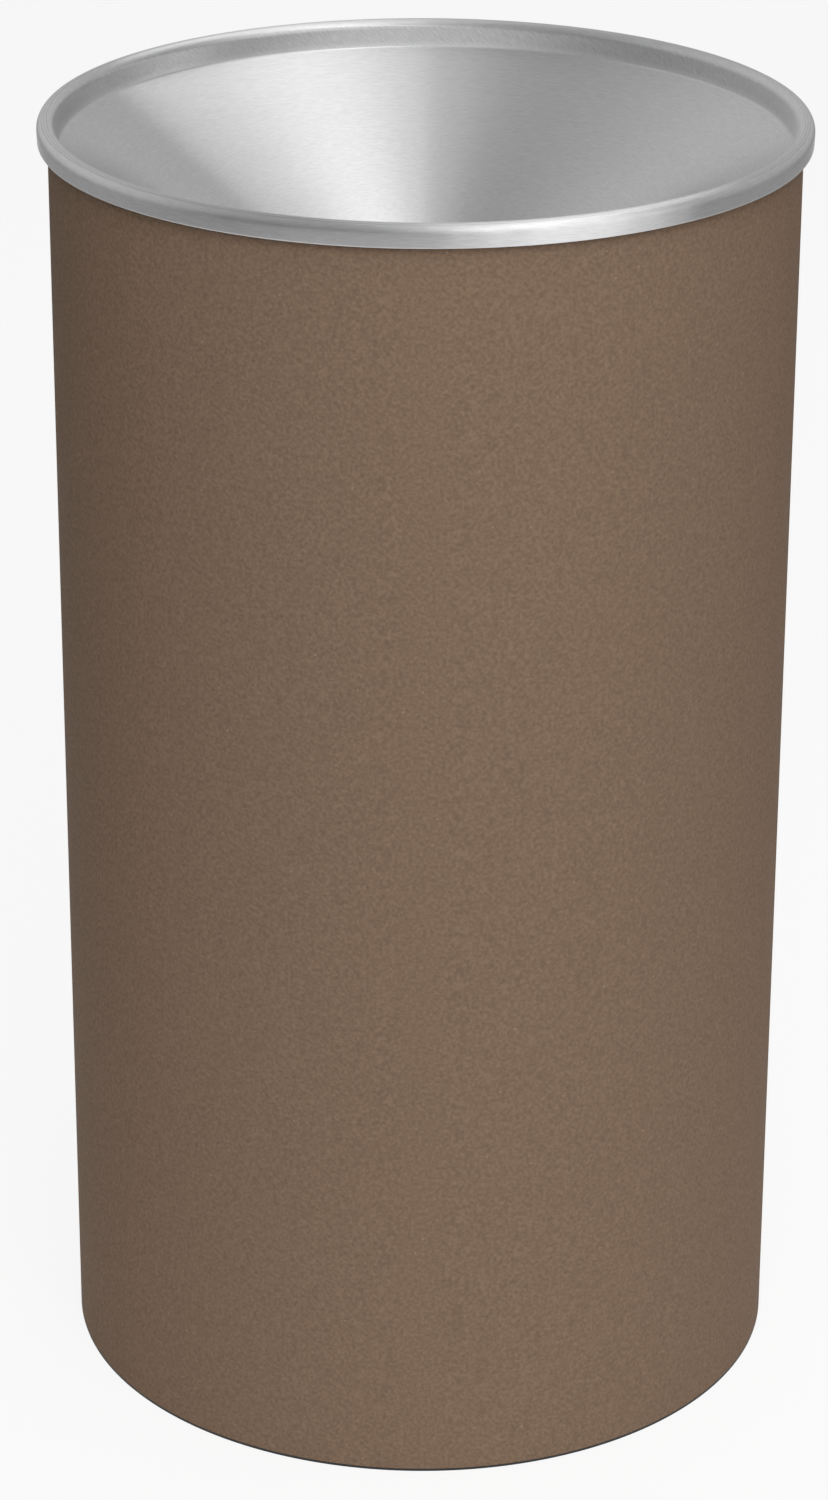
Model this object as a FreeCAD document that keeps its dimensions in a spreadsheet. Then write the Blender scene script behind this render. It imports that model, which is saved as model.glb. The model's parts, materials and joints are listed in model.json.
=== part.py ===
"""Round trash receptacle with a funnel top.

A textured steel cylinder stands on a vinyl foot ring. A spun aluminium funnel top drops over its
mouth, and a galvanised liner with two swinging handles stands inside on a pressed base plate.

The frame is in millimetres: +Z is up, the floor is Z = 0, the axis of the cylinder is X = Y = 0,
and the front is towards -Y.
"""
import FreeCAD, Part
import math
import os

import Sketcher

# Driving sizes: name, value and what it measures. Lengths are in millimetres, angles in degrees.
SIZES = [
    ("overall_height", "889", "floor to the top of the funnel top's rim"),
    ("body_dia", "498", "outside of the steel cylinder"),
    ("shell_wall", "0.9", "sheet of the steel cylinder"),
    ("lap_width", "22", "overlap of the cylinder's sheet at its back seam"),
    ("seam_width", "0.8", "line that the back seam leaves outside"),
    ("seam_depth", "0.4", "depth of that line"),
    ("foot_height", "2", "vinyl under the cylinder's lower edge"),
    ("foot_width", "7", "vinyl foot, measured inwards from the cylinder's outside"),
    ("foot_leg_height", "10", "leg of the foot ring inside the cylinder"),
    ("foot_leg_wall", "1.5", "thickness of that leg"),
    ("base_height", "32", "floor to the top of the base plate"),
    ("base_sheet", "0.9", "sheet of the base plate"),
    ("base_flange", "18", "depth of the base plate's turned-down flange"),
    ("base_bend", "4", "outer radius where that flange turns down"),
    ("base_dish_dia", "330", "pressed dish in the middle of the base plate"),
    ("base_dish_depth", "4", "depth of that dish"),
    ("trim_wall", "1.3", "vinyl trim on the cylinder's mouth"),
    ("trim_leg", "8", "how far the trim reaches down the sheet"),
    ("fit_clearance", "0.1", "gap between pieces that are pressed or welded together"),
    ("seat_clearance", "0.3", "gap between the funnel top and the trim that it sits on"),
    ("lid_sheet", "1.5", "sheet of the funnel top"),
    ("rim_outer_radius", "7.4", "round of the rim on its outer side"),
    ("rim_inner_radius", "4.5", "round of the rim on its inner side"),
    ("skirt_depth", "14.4", "top of the rim to the lower edge of its skirt"),
    ("skirt_inset", "1.4", "how far the skirt's lower edge curls in"),
    ("wall_depth", "18.7", "top of the rim to the corner where the cone starts"),
    ("wall_lean", "1.4", "how far the wall above that corner leans in"),
    ("cone_angle", "35", "slope of the cone below the horizontal"),
    ("cone_corner_radius", "2.5", "round between the wall and the cone"),
    ("throat_dia", "180", "opening of the funnel"),
    ("throat_lip", "14", "straight lip below the throat"),
    ("throat_corner_radius", "6", "round between the cone and the throat's lip"),
    ("liner_gap", "20", "space between the cylinder and the liner's wall"),
    ("liner_sheet", "0.75", "sheet of the liner"),
    ("liner_fold", "4", "lower edge of the liner's wall, folded in under its floor"),
    ("liner_floor_rise", "12", "lower edge of the liner to its floor"),
    ("liner_floor_bend", "3", "outer radius where the liner's floor turns down"),
    ("liner_swage_count", "3", "stiffening swages in the liner's wall"),
    ("liner_swage_width", "16", "height of each swage"),
    ("liner_swage_height", "2.5", "how far a swage stands out"),
    ("liner_seam_width", "8", "lock seam up the back of the liner"),
    ("liner_seam_height", "1.4", "how far the lock seam stands out"),
    ("rim_wire_dia", "5", "wire inside the liner's curled rim"),
    ("rim_wire_clearance", "0.3", "gap round that wire"),
    ("curl_leg", "3", "straight end of the curl round that wire"),
    ("handle_wire_dia", "6", "wire of the liner's handles"),
    ("handle_span", "90", "between the two legs of a handle"),
    ("handle_drop", "52", "pivot of a handle to its grip bar"),
    ("handle_bend", "14", "bend between a leg and the grip bar"),
    ("pivot_bend", "7", "bend between a leg and its pivot"),
    ("pivot_end", "4", "pivot wire standing out past its ear"),
    ("pivot_clearance", "0.25", "gap round the pivot wire in its ear"),
    ("pivot_side_gap", "1", "play between the pivot's bend and its ear"),
    ("handle_headroom", "8", "gap between a raised handle and the funnel"),
    ("rim_above_pivot", "28", "pivot of the handles to the top of the liner"),
    ("ear_width", "14", "length of an ear's barrel"),
    ("ear_wall", "2.5", "wall of that barrel"),
    ("ear_plate", "1.5", "thickness of an ear's plate"),
    ("ear_clearance", "0.3", "gap between an ear's plate and the liner's wall"),
    ("ear_plate_width", "24", "width of that plate"),
    ("ear_plate_height", "42", "height of that plate"),
    ("rivet_offset", "13.5", "barrel's axis to each of an ear's two rivets"),
    ("rivet_dia", "4", "shank of a rivet"),
    ("rivet_head_dia", "8", "head of a rivet"),
    ("rivet_head_height", "1.8", "rise of a rivet's head"),
]

# Places and sizes that follow from the driving sizes.
PLACES = [
    ("shell_outer", "=sizes.body_dia / 2"),
    ("shell_inner", "=shell_outer - sizes.shell_wall"),
    ("shell_middle", "=shell_outer - sizes.shell_wall / 2"),
    ("foot_inner", "=shell_outer - sizes.foot_width"),
    ("foot_leg_outer", "=shell_inner - sizes.fit_clearance"),
    ("foot_leg_inner", "=foot_leg_outer - sizes.foot_leg_wall"),
    ("foot_leg_top", "=sizes.foot_height + sizes.foot_leg_height"),
    ("base_outer", "=shell_inner - sizes.fit_clearance"),
    ("base_flange_inner", "=base_outer - sizes.base_sheet"),
    ("base_flange_bottom", "=sizes.base_height - sizes.base_flange"),
    ("base_underside", "=sizes.base_height - sizes.base_sheet"),
    ("dish_floor", "=sizes.base_height - sizes.base_dish_depth"),
    ("dish_underside", "=dish_floor - sizes.base_sheet"),
    ("dish_inner", "=sizes.base_dish_dia / 2 - sizes.base_dish_depth"),
    ("dish_outer", "=sizes.base_dish_dia / 2"),
    ("trim_slot_half", "=sizes.shell_wall / 2 + sizes.fit_clearance"),
    ("trim_half", "=trim_slot_half + sizes.trim_wall"),
    ("shell_top", "=sizes.overall_height - sizes.lid_sheet - sizes.seat_clearance - trim_half"),
    ("trim_bottom", "=shell_top - sizes.trim_leg"),
    ("rim_outer", "=shell_middle + sizes.rim_outer_radius"),
    ("rim_outer_level", "=sizes.overall_height - sizes.rim_outer_radius"),
    ("rim_inner", "=shell_middle - sizes.rim_inner_radius"),
    ("rim_inner_level", "=sizes.overall_height - sizes.rim_inner_radius"),
    ("skirt_edge", "=rim_outer - sizes.skirt_inset"),
    ("skirt_level", "=sizes.overall_height - sizes.skirt_depth"),
    ("skirt_drop", "=rim_outer_level - skirt_level"),
    ("skirt_radius", "=(skirt_drop ^ 2 + sizes.skirt_inset ^ 2) / (2 * sizes.skirt_inset)"),
    ("skirt_back_edge", "=skirt_edge - sizes.lid_sheet * (skirt_radius - sizes.skirt_inset) / skirt_radius"),
    ("skirt_back_level", "=skirt_level + sizes.lid_sheet * skirt_drop / skirt_radius"),
    ("corner_radius", "=rim_inner - sizes.wall_lean"),
    ("corner_level", "=sizes.overall_height - sizes.wall_depth"),
    ("cone_slope", "=tan(sizes.cone_angle)"),
    ("cone_drop", "=sizes.lid_sheet / cos(sizes.cone_angle)"),
    ("lean_slope", "=sizes.wall_lean / (sizes.wall_depth - sizes.rim_inner_radius)"),
    ("back_step", "=(sizes.lid_sheet * cone_slope - cone_drop) / (1 - lean_slope * cone_slope)"),
    ("corner_back_level", "=corner_level + back_step"),
    ("corner_back_radius", "=corner_radius + sizes.lid_sheet + lean_slope * back_step"),
    ("throat_radius", "=sizes.throat_dia / 2"),
    ("throat_back", "=throat_radius + sizes.lid_sheet"),
    ("throat_level", "=corner_level - (corner_radius - throat_radius) * cone_slope"),
    ("throat_back_level", "=throat_level + sizes.lid_sheet * cone_slope - cone_drop"),
    ("lip_level", "=throat_level - sizes.throat_lip"),
    ("liner_outer", "=shell_inner - sizes.liner_gap"),
    ("liner_inner", "=liner_outer - sizes.liner_sheet"),
    ("liner_middle", "=liner_outer - sizes.liner_sheet / 2"),
    ("fold_inner", "=liner_inner - sizes.liner_fold"),
    ("fold_top", "=sizes.base_height + sizes.liner_sheet"),
    ("floor_outer", "=liner_inner - sizes.fit_clearance"),
    ("floor_flange_inner", "=floor_outer - sizes.liner_sheet"),
    ("floor_top", "=sizes.base_height + sizes.liner_floor_rise"),
    ("floor_underside", "=floor_top - sizes.liner_sheet"),
    ("barrel_hole", "=sizes.handle_wire_dia / 2 + sizes.pivot_clearance"),
    ("barrel_radius", "=barrel_hole + sizes.ear_wall"),
    ("leg_side", "=sizes.handle_span / 2"),
    ("ear_inside", "=leg_side + sizes.pivot_bend + sizes.pivot_side_gap"),
    ("ear_outside", "=ear_inside + sizes.ear_width"),
    ("ear_middle", "=ear_inside + sizes.ear_width / 2"),
    ("pivot_tip", "=ear_outside + sizes.pivot_end"),
    ("ear_back", "=liner_inner - sizes.ear_clearance"),
    ("ear_face", "=ear_back - sizes.ear_plate"),
    ("hinge_reach", "=sqrt(liner_inner ^ 2 - ear_outside ^ 2) - sizes.ear_plate - barrel_radius"),
    ("cone_over_hinge", "=corner_level - (corner_radius - hinge_reach) * cone_slope - cone_drop"),
    ("handle_sweep", "=sizes.handle_drop + sizes.handle_wire_dia / 2 + sizes.handle_headroom"),
    ("hinge_level", "=cone_over_hinge - handle_sweep / cos(sizes.cone_angle)"),
    ("grip_level", "=hinge_level - sizes.handle_drop"),
    ("liner_top", "=hinge_level + sizes.rim_above_pivot"),
    ("curl_hole", "=sizes.rim_wire_dia / 2 + sizes.rim_wire_clearance"),
    ("curl_radius", "=curl_hole + sizes.liner_sheet"),
    ("curl_middle", "=liner_outer + curl_hole"),
    ("curl_level", "=liner_top - curl_radius"),
    ("curl_leg_bottom", "=curl_level - sizes.curl_leg"),
    ("seam_bottom", "=sizes.base_height + sizes.liner_floor_rise"),
    ("seam_top", "=curl_leg_bottom - sizes.curl_leg"),
    ("seam_angle", "=2 * asin(sizes.liner_seam_width / (2 * liner_outer))"),
    ("swage_pitch", "=(liner_top - sizes.base_height) / (sizes.liner_swage_count + 1)"),
    ("swage_half", "=sizes.liner_swage_width / 2"),
    ("swage_radius", "=(swage_half ^ 2 + sizes.liner_swage_height ^ 2) / (2 * sizes.liner_swage_height)"),
    ("rivet_hole", "=sizes.rivet_dia / 2 + sizes.fit_clearance"),
]

# How sketches number their axes, their origin and the points of an edge.
ACROSS_INDEX = -1
UP_INDEX = -2
START_INDEX = 1
END_INDEX = 2
CENTRE_INDEX = 3
ORIGIN_INDEX = (ACROSS_INDEX, START_INDEX)

# Which way an arc turns as it is drawn.
LEFT, RIGHT = "left", "right"

doc = FreeCAD.newDocument("trash_receptacle")


def fill_sheet(name, rows):
    """Make a spreadsheet with an aliased cell for each row, and the row's note beside it."""
    sheet = doc.addObject("Spreadsheet::Sheet", name)
    for line, (alias, content, *note) in enumerate(rows, 1):
        sheet.set(f"A{line}", content)
        sheet.setAlias(f"A{line}", alias)
        sheet.set(f"B{line}", "'" + "".join(note))
    return sheet


sizes = fill_sheet("sizes", SIZES)
places = fill_sheet("places", PLACES)
doc.recompute()


def size(name):
    """Value of a driving size."""
    return float(sizes.get(name))


def place(name):
    """Value of a derived place or size."""
    return float(places.get(name))


def number(expression):
    """Value of an expression over both sheets."""
    return float(places.evalExpression(expression))


# Helpers for bodies, sketches and features.

def new_body(label):
    """An empty body that carries the sub-part's name."""
    body = doc.addObject("PartDesign::Body", label)
    body.Label = label
    return body


def new_sketch(body, name, role, offset=None):
    """A sketch on one of the body's own origin planes, moved along the plane's normal by offset."""
    sketch = body.newObject("Sketcher::SketchObject", name)
    plane = [feature for feature in body.Origin.OriginFeatures if feature.Role == role][0]
    sketch.AttachmentSupport = [(plane, "")]
    sketch.MapMode = "FlatFace"
    if offset:
        sketch.setExpression("AttachmentOffset.Base.z", offset)
    return sketch


def pin_point(sketch, edge, end, across, up):
    """Fix one end of a sketch edge at the given expressions."""
    for kind, axis, expression in (("DistanceX", UP_INDEX, across), ("DistanceY", ACROSS_INDEX, up)):
        if expression == "0":
            sketch.addConstraint(Sketcher.Constraint("PointOnObject", edge, end, axis))
            continue
        value = number(expression)
        index = sketch.addConstraint(Sketcher.Constraint(kind, *ORIGIN_INDEX, edge, end, value))
        sketch.setExpression(f"Constraints[{index}]", expression)


def arc_centre(first, last, radius, turn):
    """Centre of the shorter arc from first to last that turns to the left or the right."""
    chord = last - first
    half = chord.Length / 2
    reach = math.sqrt(max(radius ** 2 - half ** 2, 0))
    leftwards = FreeCAD.Vector(-chord.y, chord.x, 0).normalize()
    return first + chord * 0.5 + leftwards * (reach if turn == LEFT else -reach)


def add_arc(sketch, first, last, radius, turn):
    """Add an arc and return its index with the ends that start and finish it."""
    value = number(radius)
    centre = arc_centre(first, last, value, turn)
    start, stop = (first, last) if turn == LEFT else (last, first)
    angles = [math.atan2(point.y - centre.y, point.x - centre.x) for point in (start, stop)]
    circle = Part.Circle(centre, FreeCAD.Vector(0, 0, 1), value)
    edge = sketch.addGeometry(Part.ArcOfCircle(circle, angles[0], angles[1]))
    index = sketch.addConstraint(Sketcher.Constraint("Radius", edge, value))
    sketch.setExpression(f"Constraints[{index}]", radius)
    ends = (START_INDEX, END_INDEX) if turn == LEFT else (END_INDEX, START_INDEX)
    return (edge, *ends)


def draw(sketch, corners, closed=True):
    """Draw lines and arcs through the corners.

    A corner is (across, up) for a straight line to it, or (across, up, radius, turn) for an arc.
    """
    points = [FreeCAD.Vector(number(corner[0]), number(corner[1]), 0) for corner in corners]
    spans = []
    for position in range(0 if closed else 1, len(corners)):
        corner = corners[position]
        first, last = points[position - 1], points[position]
        if len(corner) == 4:
            spans.append(add_arc(sketch, first, last, corner[2], corner[3]))
        else:
            spans.append((sketch.addGeometry(Part.LineSegment(first, last)), START_INDEX, END_INDEX))
    joints = range(len(spans)) if closed else range(1, len(spans))
    for position in joints:
        before, after = spans[position - 1], spans[position]
        sketch.addConstraint(Sketcher.Constraint("Coincident", before[0], before[2], after[0], after[1]))
    if not closed:
        pin_point(sketch, spans[0][0], spans[0][1], corners[0][0], corners[0][1])
        corners = corners[1:]
    for span, corner in zip(spans, corners):
        pin_point(sketch, span[0], span[2], corner[0], corner[1])


def revolve(body, corners):
    """Turn a closed outline of radius and height about the upright axis."""
    sketch = new_sketch(body, body.Name + "_outline", "XZ_Plane")
    draw(sketch, corners)
    turn = body.newObject("PartDesign::Revolution", body.Name + "_turned")
    turn.Profile = sketch
    turn.ReferenceAxis = (sketch, ["V_Axis"])
    turn.Angle = 360
    body.Tip = turn
    doc.recompute()
    return turn


def round_edge(body, radius_at, level_at, fillet_radius):
    """Fillet the body's circular edge at a radius and height."""
    base = body.Tip
    reach, height = number(radius_at), number(level_at)

    def distance(edge):
        return math.hypot(edge.Curve.Radius - reach, edge.Curve.Center.z - height)

    circles = [
        (distance(edge), f"Edge{index}")
        for index, edge in enumerate(base.Shape.Edges, 1)
        if isinstance(edge.Curve, Part.Circle) and abs(edge.Curve.Axis.z) > 0.99
    ]
    fillet = body.newObject("PartDesign::Fillet", body.Name + "_round")
    fillet.Base = (base, [min(circles)[1]])
    fillet.setExpression("Radius", fillet_radius)
    body.Tip = fillet
    doc.recompute()


def block(kind, holder, name, low, high):
    """A box between two corners, given as expressions."""
    box = holder.newObject(kind, name) if holder else doc.addObject(kind, name)
    for prop, axis, first, last in zip(("Length", "Width", "Height"), "xyz", low, high):
        box.setExpression(prop, f"({last}) - ({first})")
        box.setExpression(f"Placement.Base.{axis}", first)
    if holder:
        holder.Tip = box
    return box


def bound(obj, **expressions):
    """Bind properties of an object to expressions."""
    for prop, expression in expressions.items():
        obj.setExpression(prop, expression)
    return obj


def reach_out(side, near, far):
    """Ends of a stretch from near to far, on the plus or the minus side of an axis, low end first."""
    return (near, far) if side > 0 else (f"-({far})", f"-({near})")


def combine(kind, name, pieces):
    """Part::MultiFuse or Part::MultiCommon of some pieces."""
    result = doc.addObject(kind, name)
    result.Shapes = pieces
    return result


def cut(name, base, tool):
    """One object with another taken out of it."""
    result = doc.addObject("Part::Cut", name)
    result.Base = base
    result.Tool = tool
    return result


# Receptacle body.

def make_body_shell():
    """Rolled steel cylinder, lapped and welded up the back."""
    body = new_body("body_shell")
    revolve(body, [
        ("places.shell_inner", "sizes.foot_height"),
        ("places.shell_outer", "sizes.foot_height"),
        ("places.shell_outer", "places.shell_top"),
        ("places.shell_inner", "places.shell_top"),
    ])
    block(
        "PartDesign::AdditiveBox", body, "shell_lap",
        ("-sizes.lap_width / 2", "places.shell_inner - sizes.shell_wall", "sizes.base_height"),
        ("sizes.lap_width / 2", "places.shell_inner + sizes.shell_wall / 3", "places.trim_bottom"),
    )
    block(
        "PartDesign::SubtractiveBox", body, "shell_seam",
        ("sizes.lap_width / 2 - sizes.seam_width", "places.shell_outer - sizes.seam_depth", "0"),
        ("sizes.lap_width / 2", "places.shell_outer + sizes.seam_depth", "sizes.overall_height"),
    )
    return body


def make_base_plate():
    """Pressed pan, its flange turned down and welded inside the cylinder."""
    body = new_body("base_plate")
    revolve(body, [
        ("0", "places.dish_underside"),
        ("places.dish_inner", "places.dish_underside"),
        ("places.dish_outer", "places.base_underside"),
        ("places.base_flange_inner", "places.base_underside"),
        ("places.base_flange_inner", "places.base_flange_bottom"),
        ("places.base_outer", "places.base_flange_bottom"),
        ("places.base_outer", "sizes.base_height"),
        ("places.dish_outer", "sizes.base_height"),
        ("places.dish_inner", "places.dish_floor"),
        ("0", "places.dish_floor"),
    ])
    round_edge(body, "places.base_outer", "sizes.base_height", "sizes.base_bend")
    round_edge(
        body, "places.base_flange_inner", "places.base_underside", "sizes.base_bend - sizes.base_sheet"
    )
    return body


def make_foot_ring():
    """Vinyl ring that the cylinder's lower edge stands on, with a leg inside the sheet."""
    body = new_body("foot_ring")
    revolve(body, [
        ("places.foot_inner", "0"),
        ("places.shell_outer", "0"),
        ("places.shell_outer", "sizes.foot_height"),
        ("places.foot_leg_outer", "sizes.foot_height"),
        ("places.foot_leg_outer", "places.foot_leg_top"),
        ("places.foot_leg_inner", "places.foot_leg_top"),
        ("places.foot_leg_inner", "sizes.foot_height"),
        ("places.foot_inner", "sizes.foot_height"),
    ])
    return body


def make_mouth_trim():
    """Vinyl trim pushed over the cylinder's upper edge, round where the funnel top sits."""
    body = new_body("mouth_trim")
    revolve(body, [
        ("places.shell_middle - places.trim_half", "places.trim_bottom"),
        ("places.shell_middle - places.trim_slot_half", "places.trim_bottom"),
        ("places.shell_middle - places.trim_slot_half", "places.shell_top"),
        ("places.shell_middle + places.trim_slot_half", "places.shell_top"),
        ("places.shell_middle + places.trim_slot_half", "places.trim_bottom"),
        ("places.shell_middle + places.trim_half", "places.trim_bottom"),
        ("places.shell_middle + places.trim_half", "places.shell_top"),
        ("places.shell_middle", "places.shell_top + places.trim_half", "places.trim_half", LEFT),
        ("places.shell_middle - places.trim_half", "places.shell_top", "places.trim_half", LEFT),
    ])
    return body


# Funnel top.

def make_funnel_top():
    """Spun aluminium top: skirt, rolled rim, short wall, cone and throat in one sheet."""
    body = new_body("funnel_top")
    revolve(body, [
        ("places.skirt_edge", "places.skirt_level"),
        ("places.rim_outer", "places.rim_outer_level", "places.skirt_radius", LEFT),
        ("places.shell_middle", "sizes.overall_height", "sizes.rim_outer_radius", LEFT),
        ("places.rim_inner", "places.rim_inner_level", "sizes.rim_inner_radius", LEFT),
        ("places.corner_radius", "places.corner_level"),
        ("places.throat_radius", "places.throat_level"),
        ("places.throat_radius", "places.lip_level"),
        ("places.throat_back", "places.lip_level"),
        ("places.throat_back", "places.throat_back_level"),
        ("places.corner_back_radius", "places.corner_back_level"),
        ("places.rim_inner + sizes.lid_sheet", "places.rim_inner_level"),
        ("places.shell_middle", "sizes.overall_height - sizes.lid_sheet",
         "sizes.rim_inner_radius - sizes.lid_sheet", RIGHT),
        ("places.rim_outer - sizes.lid_sheet", "places.rim_outer_level",
         "sizes.rim_outer_radius - sizes.lid_sheet", RIGHT),
        ("places.skirt_back_edge", "places.skirt_back_level",
         "places.skirt_radius - sizes.lid_sheet", RIGHT),
    ])
    round_edge(body, "places.corner_radius", "places.corner_level", "sizes.cone_corner_radius")
    round_edge(
        body, "places.corner_back_radius", "places.corner_back_level",
        "sizes.cone_corner_radius + sizes.lid_sheet",
    )
    round_edge(body, "places.throat_radius", "places.throat_level", "sizes.throat_corner_radius")
    round_edge(
        body, "places.throat_back", "places.throat_back_level",
        "sizes.throat_corner_radius - sizes.lid_sheet",
    )
    return body


# Liner.

def swage_corners(wall, swages, turn):
    """Corners of the numbered swages on one face of the liner's wall: up it to the left, or down it."""
    enter, leave = ("-", "+") if turn == LEFT else ("+", "-")
    corners = []
    for swage in swages:
        level = f"sizes.base_height + {swage} * places.swage_pitch"
        corners.append((wall, f"{level} {enter} places.swage_half"))
        corners.append((wall, f"{level} {leave} places.swage_half", "places.swage_radius", turn))
    return corners


def add_liner_seam(body, upwards):
    """Lock seam up the back of the wall, pressed out over the swages with it."""
    seam = new_sketch(body, "liner_seam_outline", "YZ_Plane")
    root, crest = "places.liner_middle", "places.liner_outer + sizes.liner_seam_height"
    draw(seam, [
        (root, "places.seam_bottom"),
        (crest, "places.seam_bottom"),
        *swage_corners(crest, upwards, LEFT),
        (crest, "places.seam_top"),
        (root, "places.seam_top"),
        *swage_corners(root, upwards[::-1], RIGHT),
    ])
    strip = body.newObject("PartDesign::Revolution", "liner_seam")
    strip.Profile = seam
    strip.ReferenceAxis = (seam, ["V_Axis"])
    strip.Midplane = True
    strip.setExpression("Angle", "places.seam_angle")
    body.Tip = strip
    doc.recompute()


def make_liner_wall():
    """Rolled galvanised wall: folded lower edge, swages, lock seam and a rim curled over wire."""
    upwards = list(range(1, int(size("liner_swage_count")) + 1))
    body = new_body("liner_wall_sheet")
    revolve(body, [
        ("places.fold_inner", "sizes.base_height"),
        ("places.liner_outer", "sizes.base_height"),
        *swage_corners("places.liner_outer", upwards, LEFT),
        ("places.liner_outer", "places.curl_level"),
        ("places.curl_middle", "places.curl_level + places.curl_hole", "places.curl_hole", RIGHT),
        ("places.curl_middle + places.curl_hole", "places.curl_level", "places.curl_hole", RIGHT),
        ("places.curl_middle + places.curl_hole", "places.curl_leg_bottom"),
        ("places.curl_middle + places.curl_radius", "places.curl_leg_bottom"),
        ("places.curl_middle + places.curl_radius", "places.curl_level"),
        ("places.curl_middle", "places.liner_top", "places.curl_radius", LEFT),
        ("places.liner_inner", "places.curl_level", "places.curl_radius", LEFT),
        *swage_corners("places.liner_inner", upwards[::-1], RIGHT),
        ("places.liner_inner", "places.fold_top"),
        ("places.fold_inner", "places.fold_top"),
    ])
    add_liner_seam(body, upwards)
    return cut("liner_wall", body, rivet_holes("liner_wall", EAR_SPOTS))


def make_liner_floor():
    """Floor disc, its flange turned down to the fold of the wall."""
    body = new_body("liner_floor")
    revolve(body, [
        ("0", "places.floor_underside"),
        ("places.floor_flange_inner", "places.floor_underside"),
        ("places.floor_flange_inner", "places.fold_top"),
        ("places.floor_outer", "places.fold_top"),
        ("places.floor_outer", "places.floor_top"),
        ("0", "places.floor_top"),
    ])
    round_edge(body, "places.floor_outer", "places.floor_top", "sizes.liner_floor_bend")
    round_edge(
        body, "places.floor_flange_inner", "places.floor_underside",
        "sizes.liner_floor_bend - sizes.liner_sheet",
    )
    return body


def make_rim_wire():
    """Wire hoop inside the liner's curled rim."""
    wire = doc.addObject("Part::Torus", "rim_wire")
    bound(wire, Radius1="places.curl_middle", Radius2="sizes.rim_wire_dia / 2")
    wire.setExpression("Placement.Base.z", "places.curl_level")
    return wire


# Handles, their ears and rivets. A side is +1 towards +X or +Y and -1 towards -X or -Y.

# Name of each ear, with its side along X and along Y.
EAR_SPOTS = [
    ("right_front_ear", 1, -1),
    ("right_rear_ear", 1, 1),
    ("left_front_ear", -1, -1),
    ("left_rear_ear", -1, 1),
]


def rivet_placements(spot):
    """Placements of an ear's two rivets: origin on the upright axis, local Z out through the wall."""
    side, depth = spot[1:]
    along = place("ear_middle")
    across = math.sqrt(place("liner_inner") ** 2 - along ** 2)
    turn = FreeCAD.Rotation(FreeCAD.Vector(0, 0, 1), FreeCAD.Vector(side * across, depth * along, 0))
    levels = [place("hinge_level") + step * size("rivet_offset") for step in (1, -1)]
    return [FreeCAD.Placement(FreeCAD.Vector(0, 0, level), turn) for level in levels]


def rivet_holes(name, spots):
    """Group of cylinders that cut the rivet holes of the given ears."""
    drills = []
    for spot in spots:
        for rivet_place in rivet_placements(spot):
            drill = doc.addObject("Part::Cylinder", f"{name}_rivet_hole")
            drill.Placement = rivet_place
            drills.append(bound(drill, Radius="places.rivet_hole", Height="places.shell_inner"))
    group = doc.addObject("Part::Compound", f"{name}_rivet_holes")
    group.Links = drills
    return group


def pivot_cylinder(name, spot, radius):
    """Cylinder about an ear's pivot, as long as the ear's barrel."""
    pin = bound(doc.addObject("Part::Cylinder", name), Radius=radius, Height="sizes.ear_width")
    pin.Placement.Rotation = FreeCAD.Rotation(FreeCAD.Vector(1, 0, 0), -90)
    pin.setExpression("Placement.Base.x", f"{spot[1]} * places.hinge_reach")
    pin.setExpression("Placement.Base.y", reach_out(spot[2], "places.ear_inside", "places.ear_outside")[0])
    pin.setExpression("Placement.Base.z", "places.hinge_level")
    return pin


def liner_cylinder(name, radius):
    """Cylinder about the upright axis that trims an ear to the liner's curve."""
    return bound(doc.addObject("Part::Cylinder", name), Radius=radius, Height="sizes.overall_height")


def ear_block(name, spot, near, inside, outside, half_height):
    """Box of an ear, from near the axis to the liner's wall and centred on the pivot's height."""
    across = reach_out(spot[1], near, "places.liner_inner")
    along = reach_out(spot[2], inside, outside)
    low = (across[0], along[0], f"places.hinge_level - {half_height}")
    high = (across[1], along[1], f"places.hinge_level + {half_height}")
    return block("Part::Box", None, name, low, high)


def make_ear(spot):
    """Ear riveted inside the liner: a curved plate with a barrel for the handle's pivot."""
    name = spot[0]
    plate_block = ear_block(
        f"{name}_plate_block", spot, "0",
        "places.ear_middle - sizes.ear_plate_width / 2",
        "places.ear_middle + sizes.ear_plate_width / 2",
        "sizes.ear_plate_height / 2",
    )
    ring = cut(
        f"{name}_ring",
        liner_cylinder(f"{name}_plate_back", "places.ear_back"),
        liner_cylinder(f"{name}_plate_face", "places.ear_face"),
    )
    plate = combine("Part::MultiCommon", f"{name}_plate", [ring, plate_block])
    lug_block = ear_block(
        f"{name}_lug_block", spot, "places.hinge_reach",
        "places.ear_inside", "places.ear_outside", "places.barrel_radius",
    )
    barrel = pivot_cylinder(f"{name}_barrel", spot, "places.barrel_radius")
    lug = combine("Part::MultiFuse", f"{name}_lug", [lug_block, barrel])
    lug_back = liner_cylinder(f"{name}_lug_back", "places.ear_back")
    fitted_lug = combine("Part::MultiCommon", f"{name}_fitted_lug", [lug, lug_back])
    joined = combine("Part::MultiFuse", f"{name}_joined", [plate, fitted_lug])
    bored = cut(f"{name}_bored", joined, pivot_cylinder(f"{name}_bore", spot, "places.barrel_hole"))
    return cut(name, bored, rivet_holes(name, [spot]))


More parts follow.
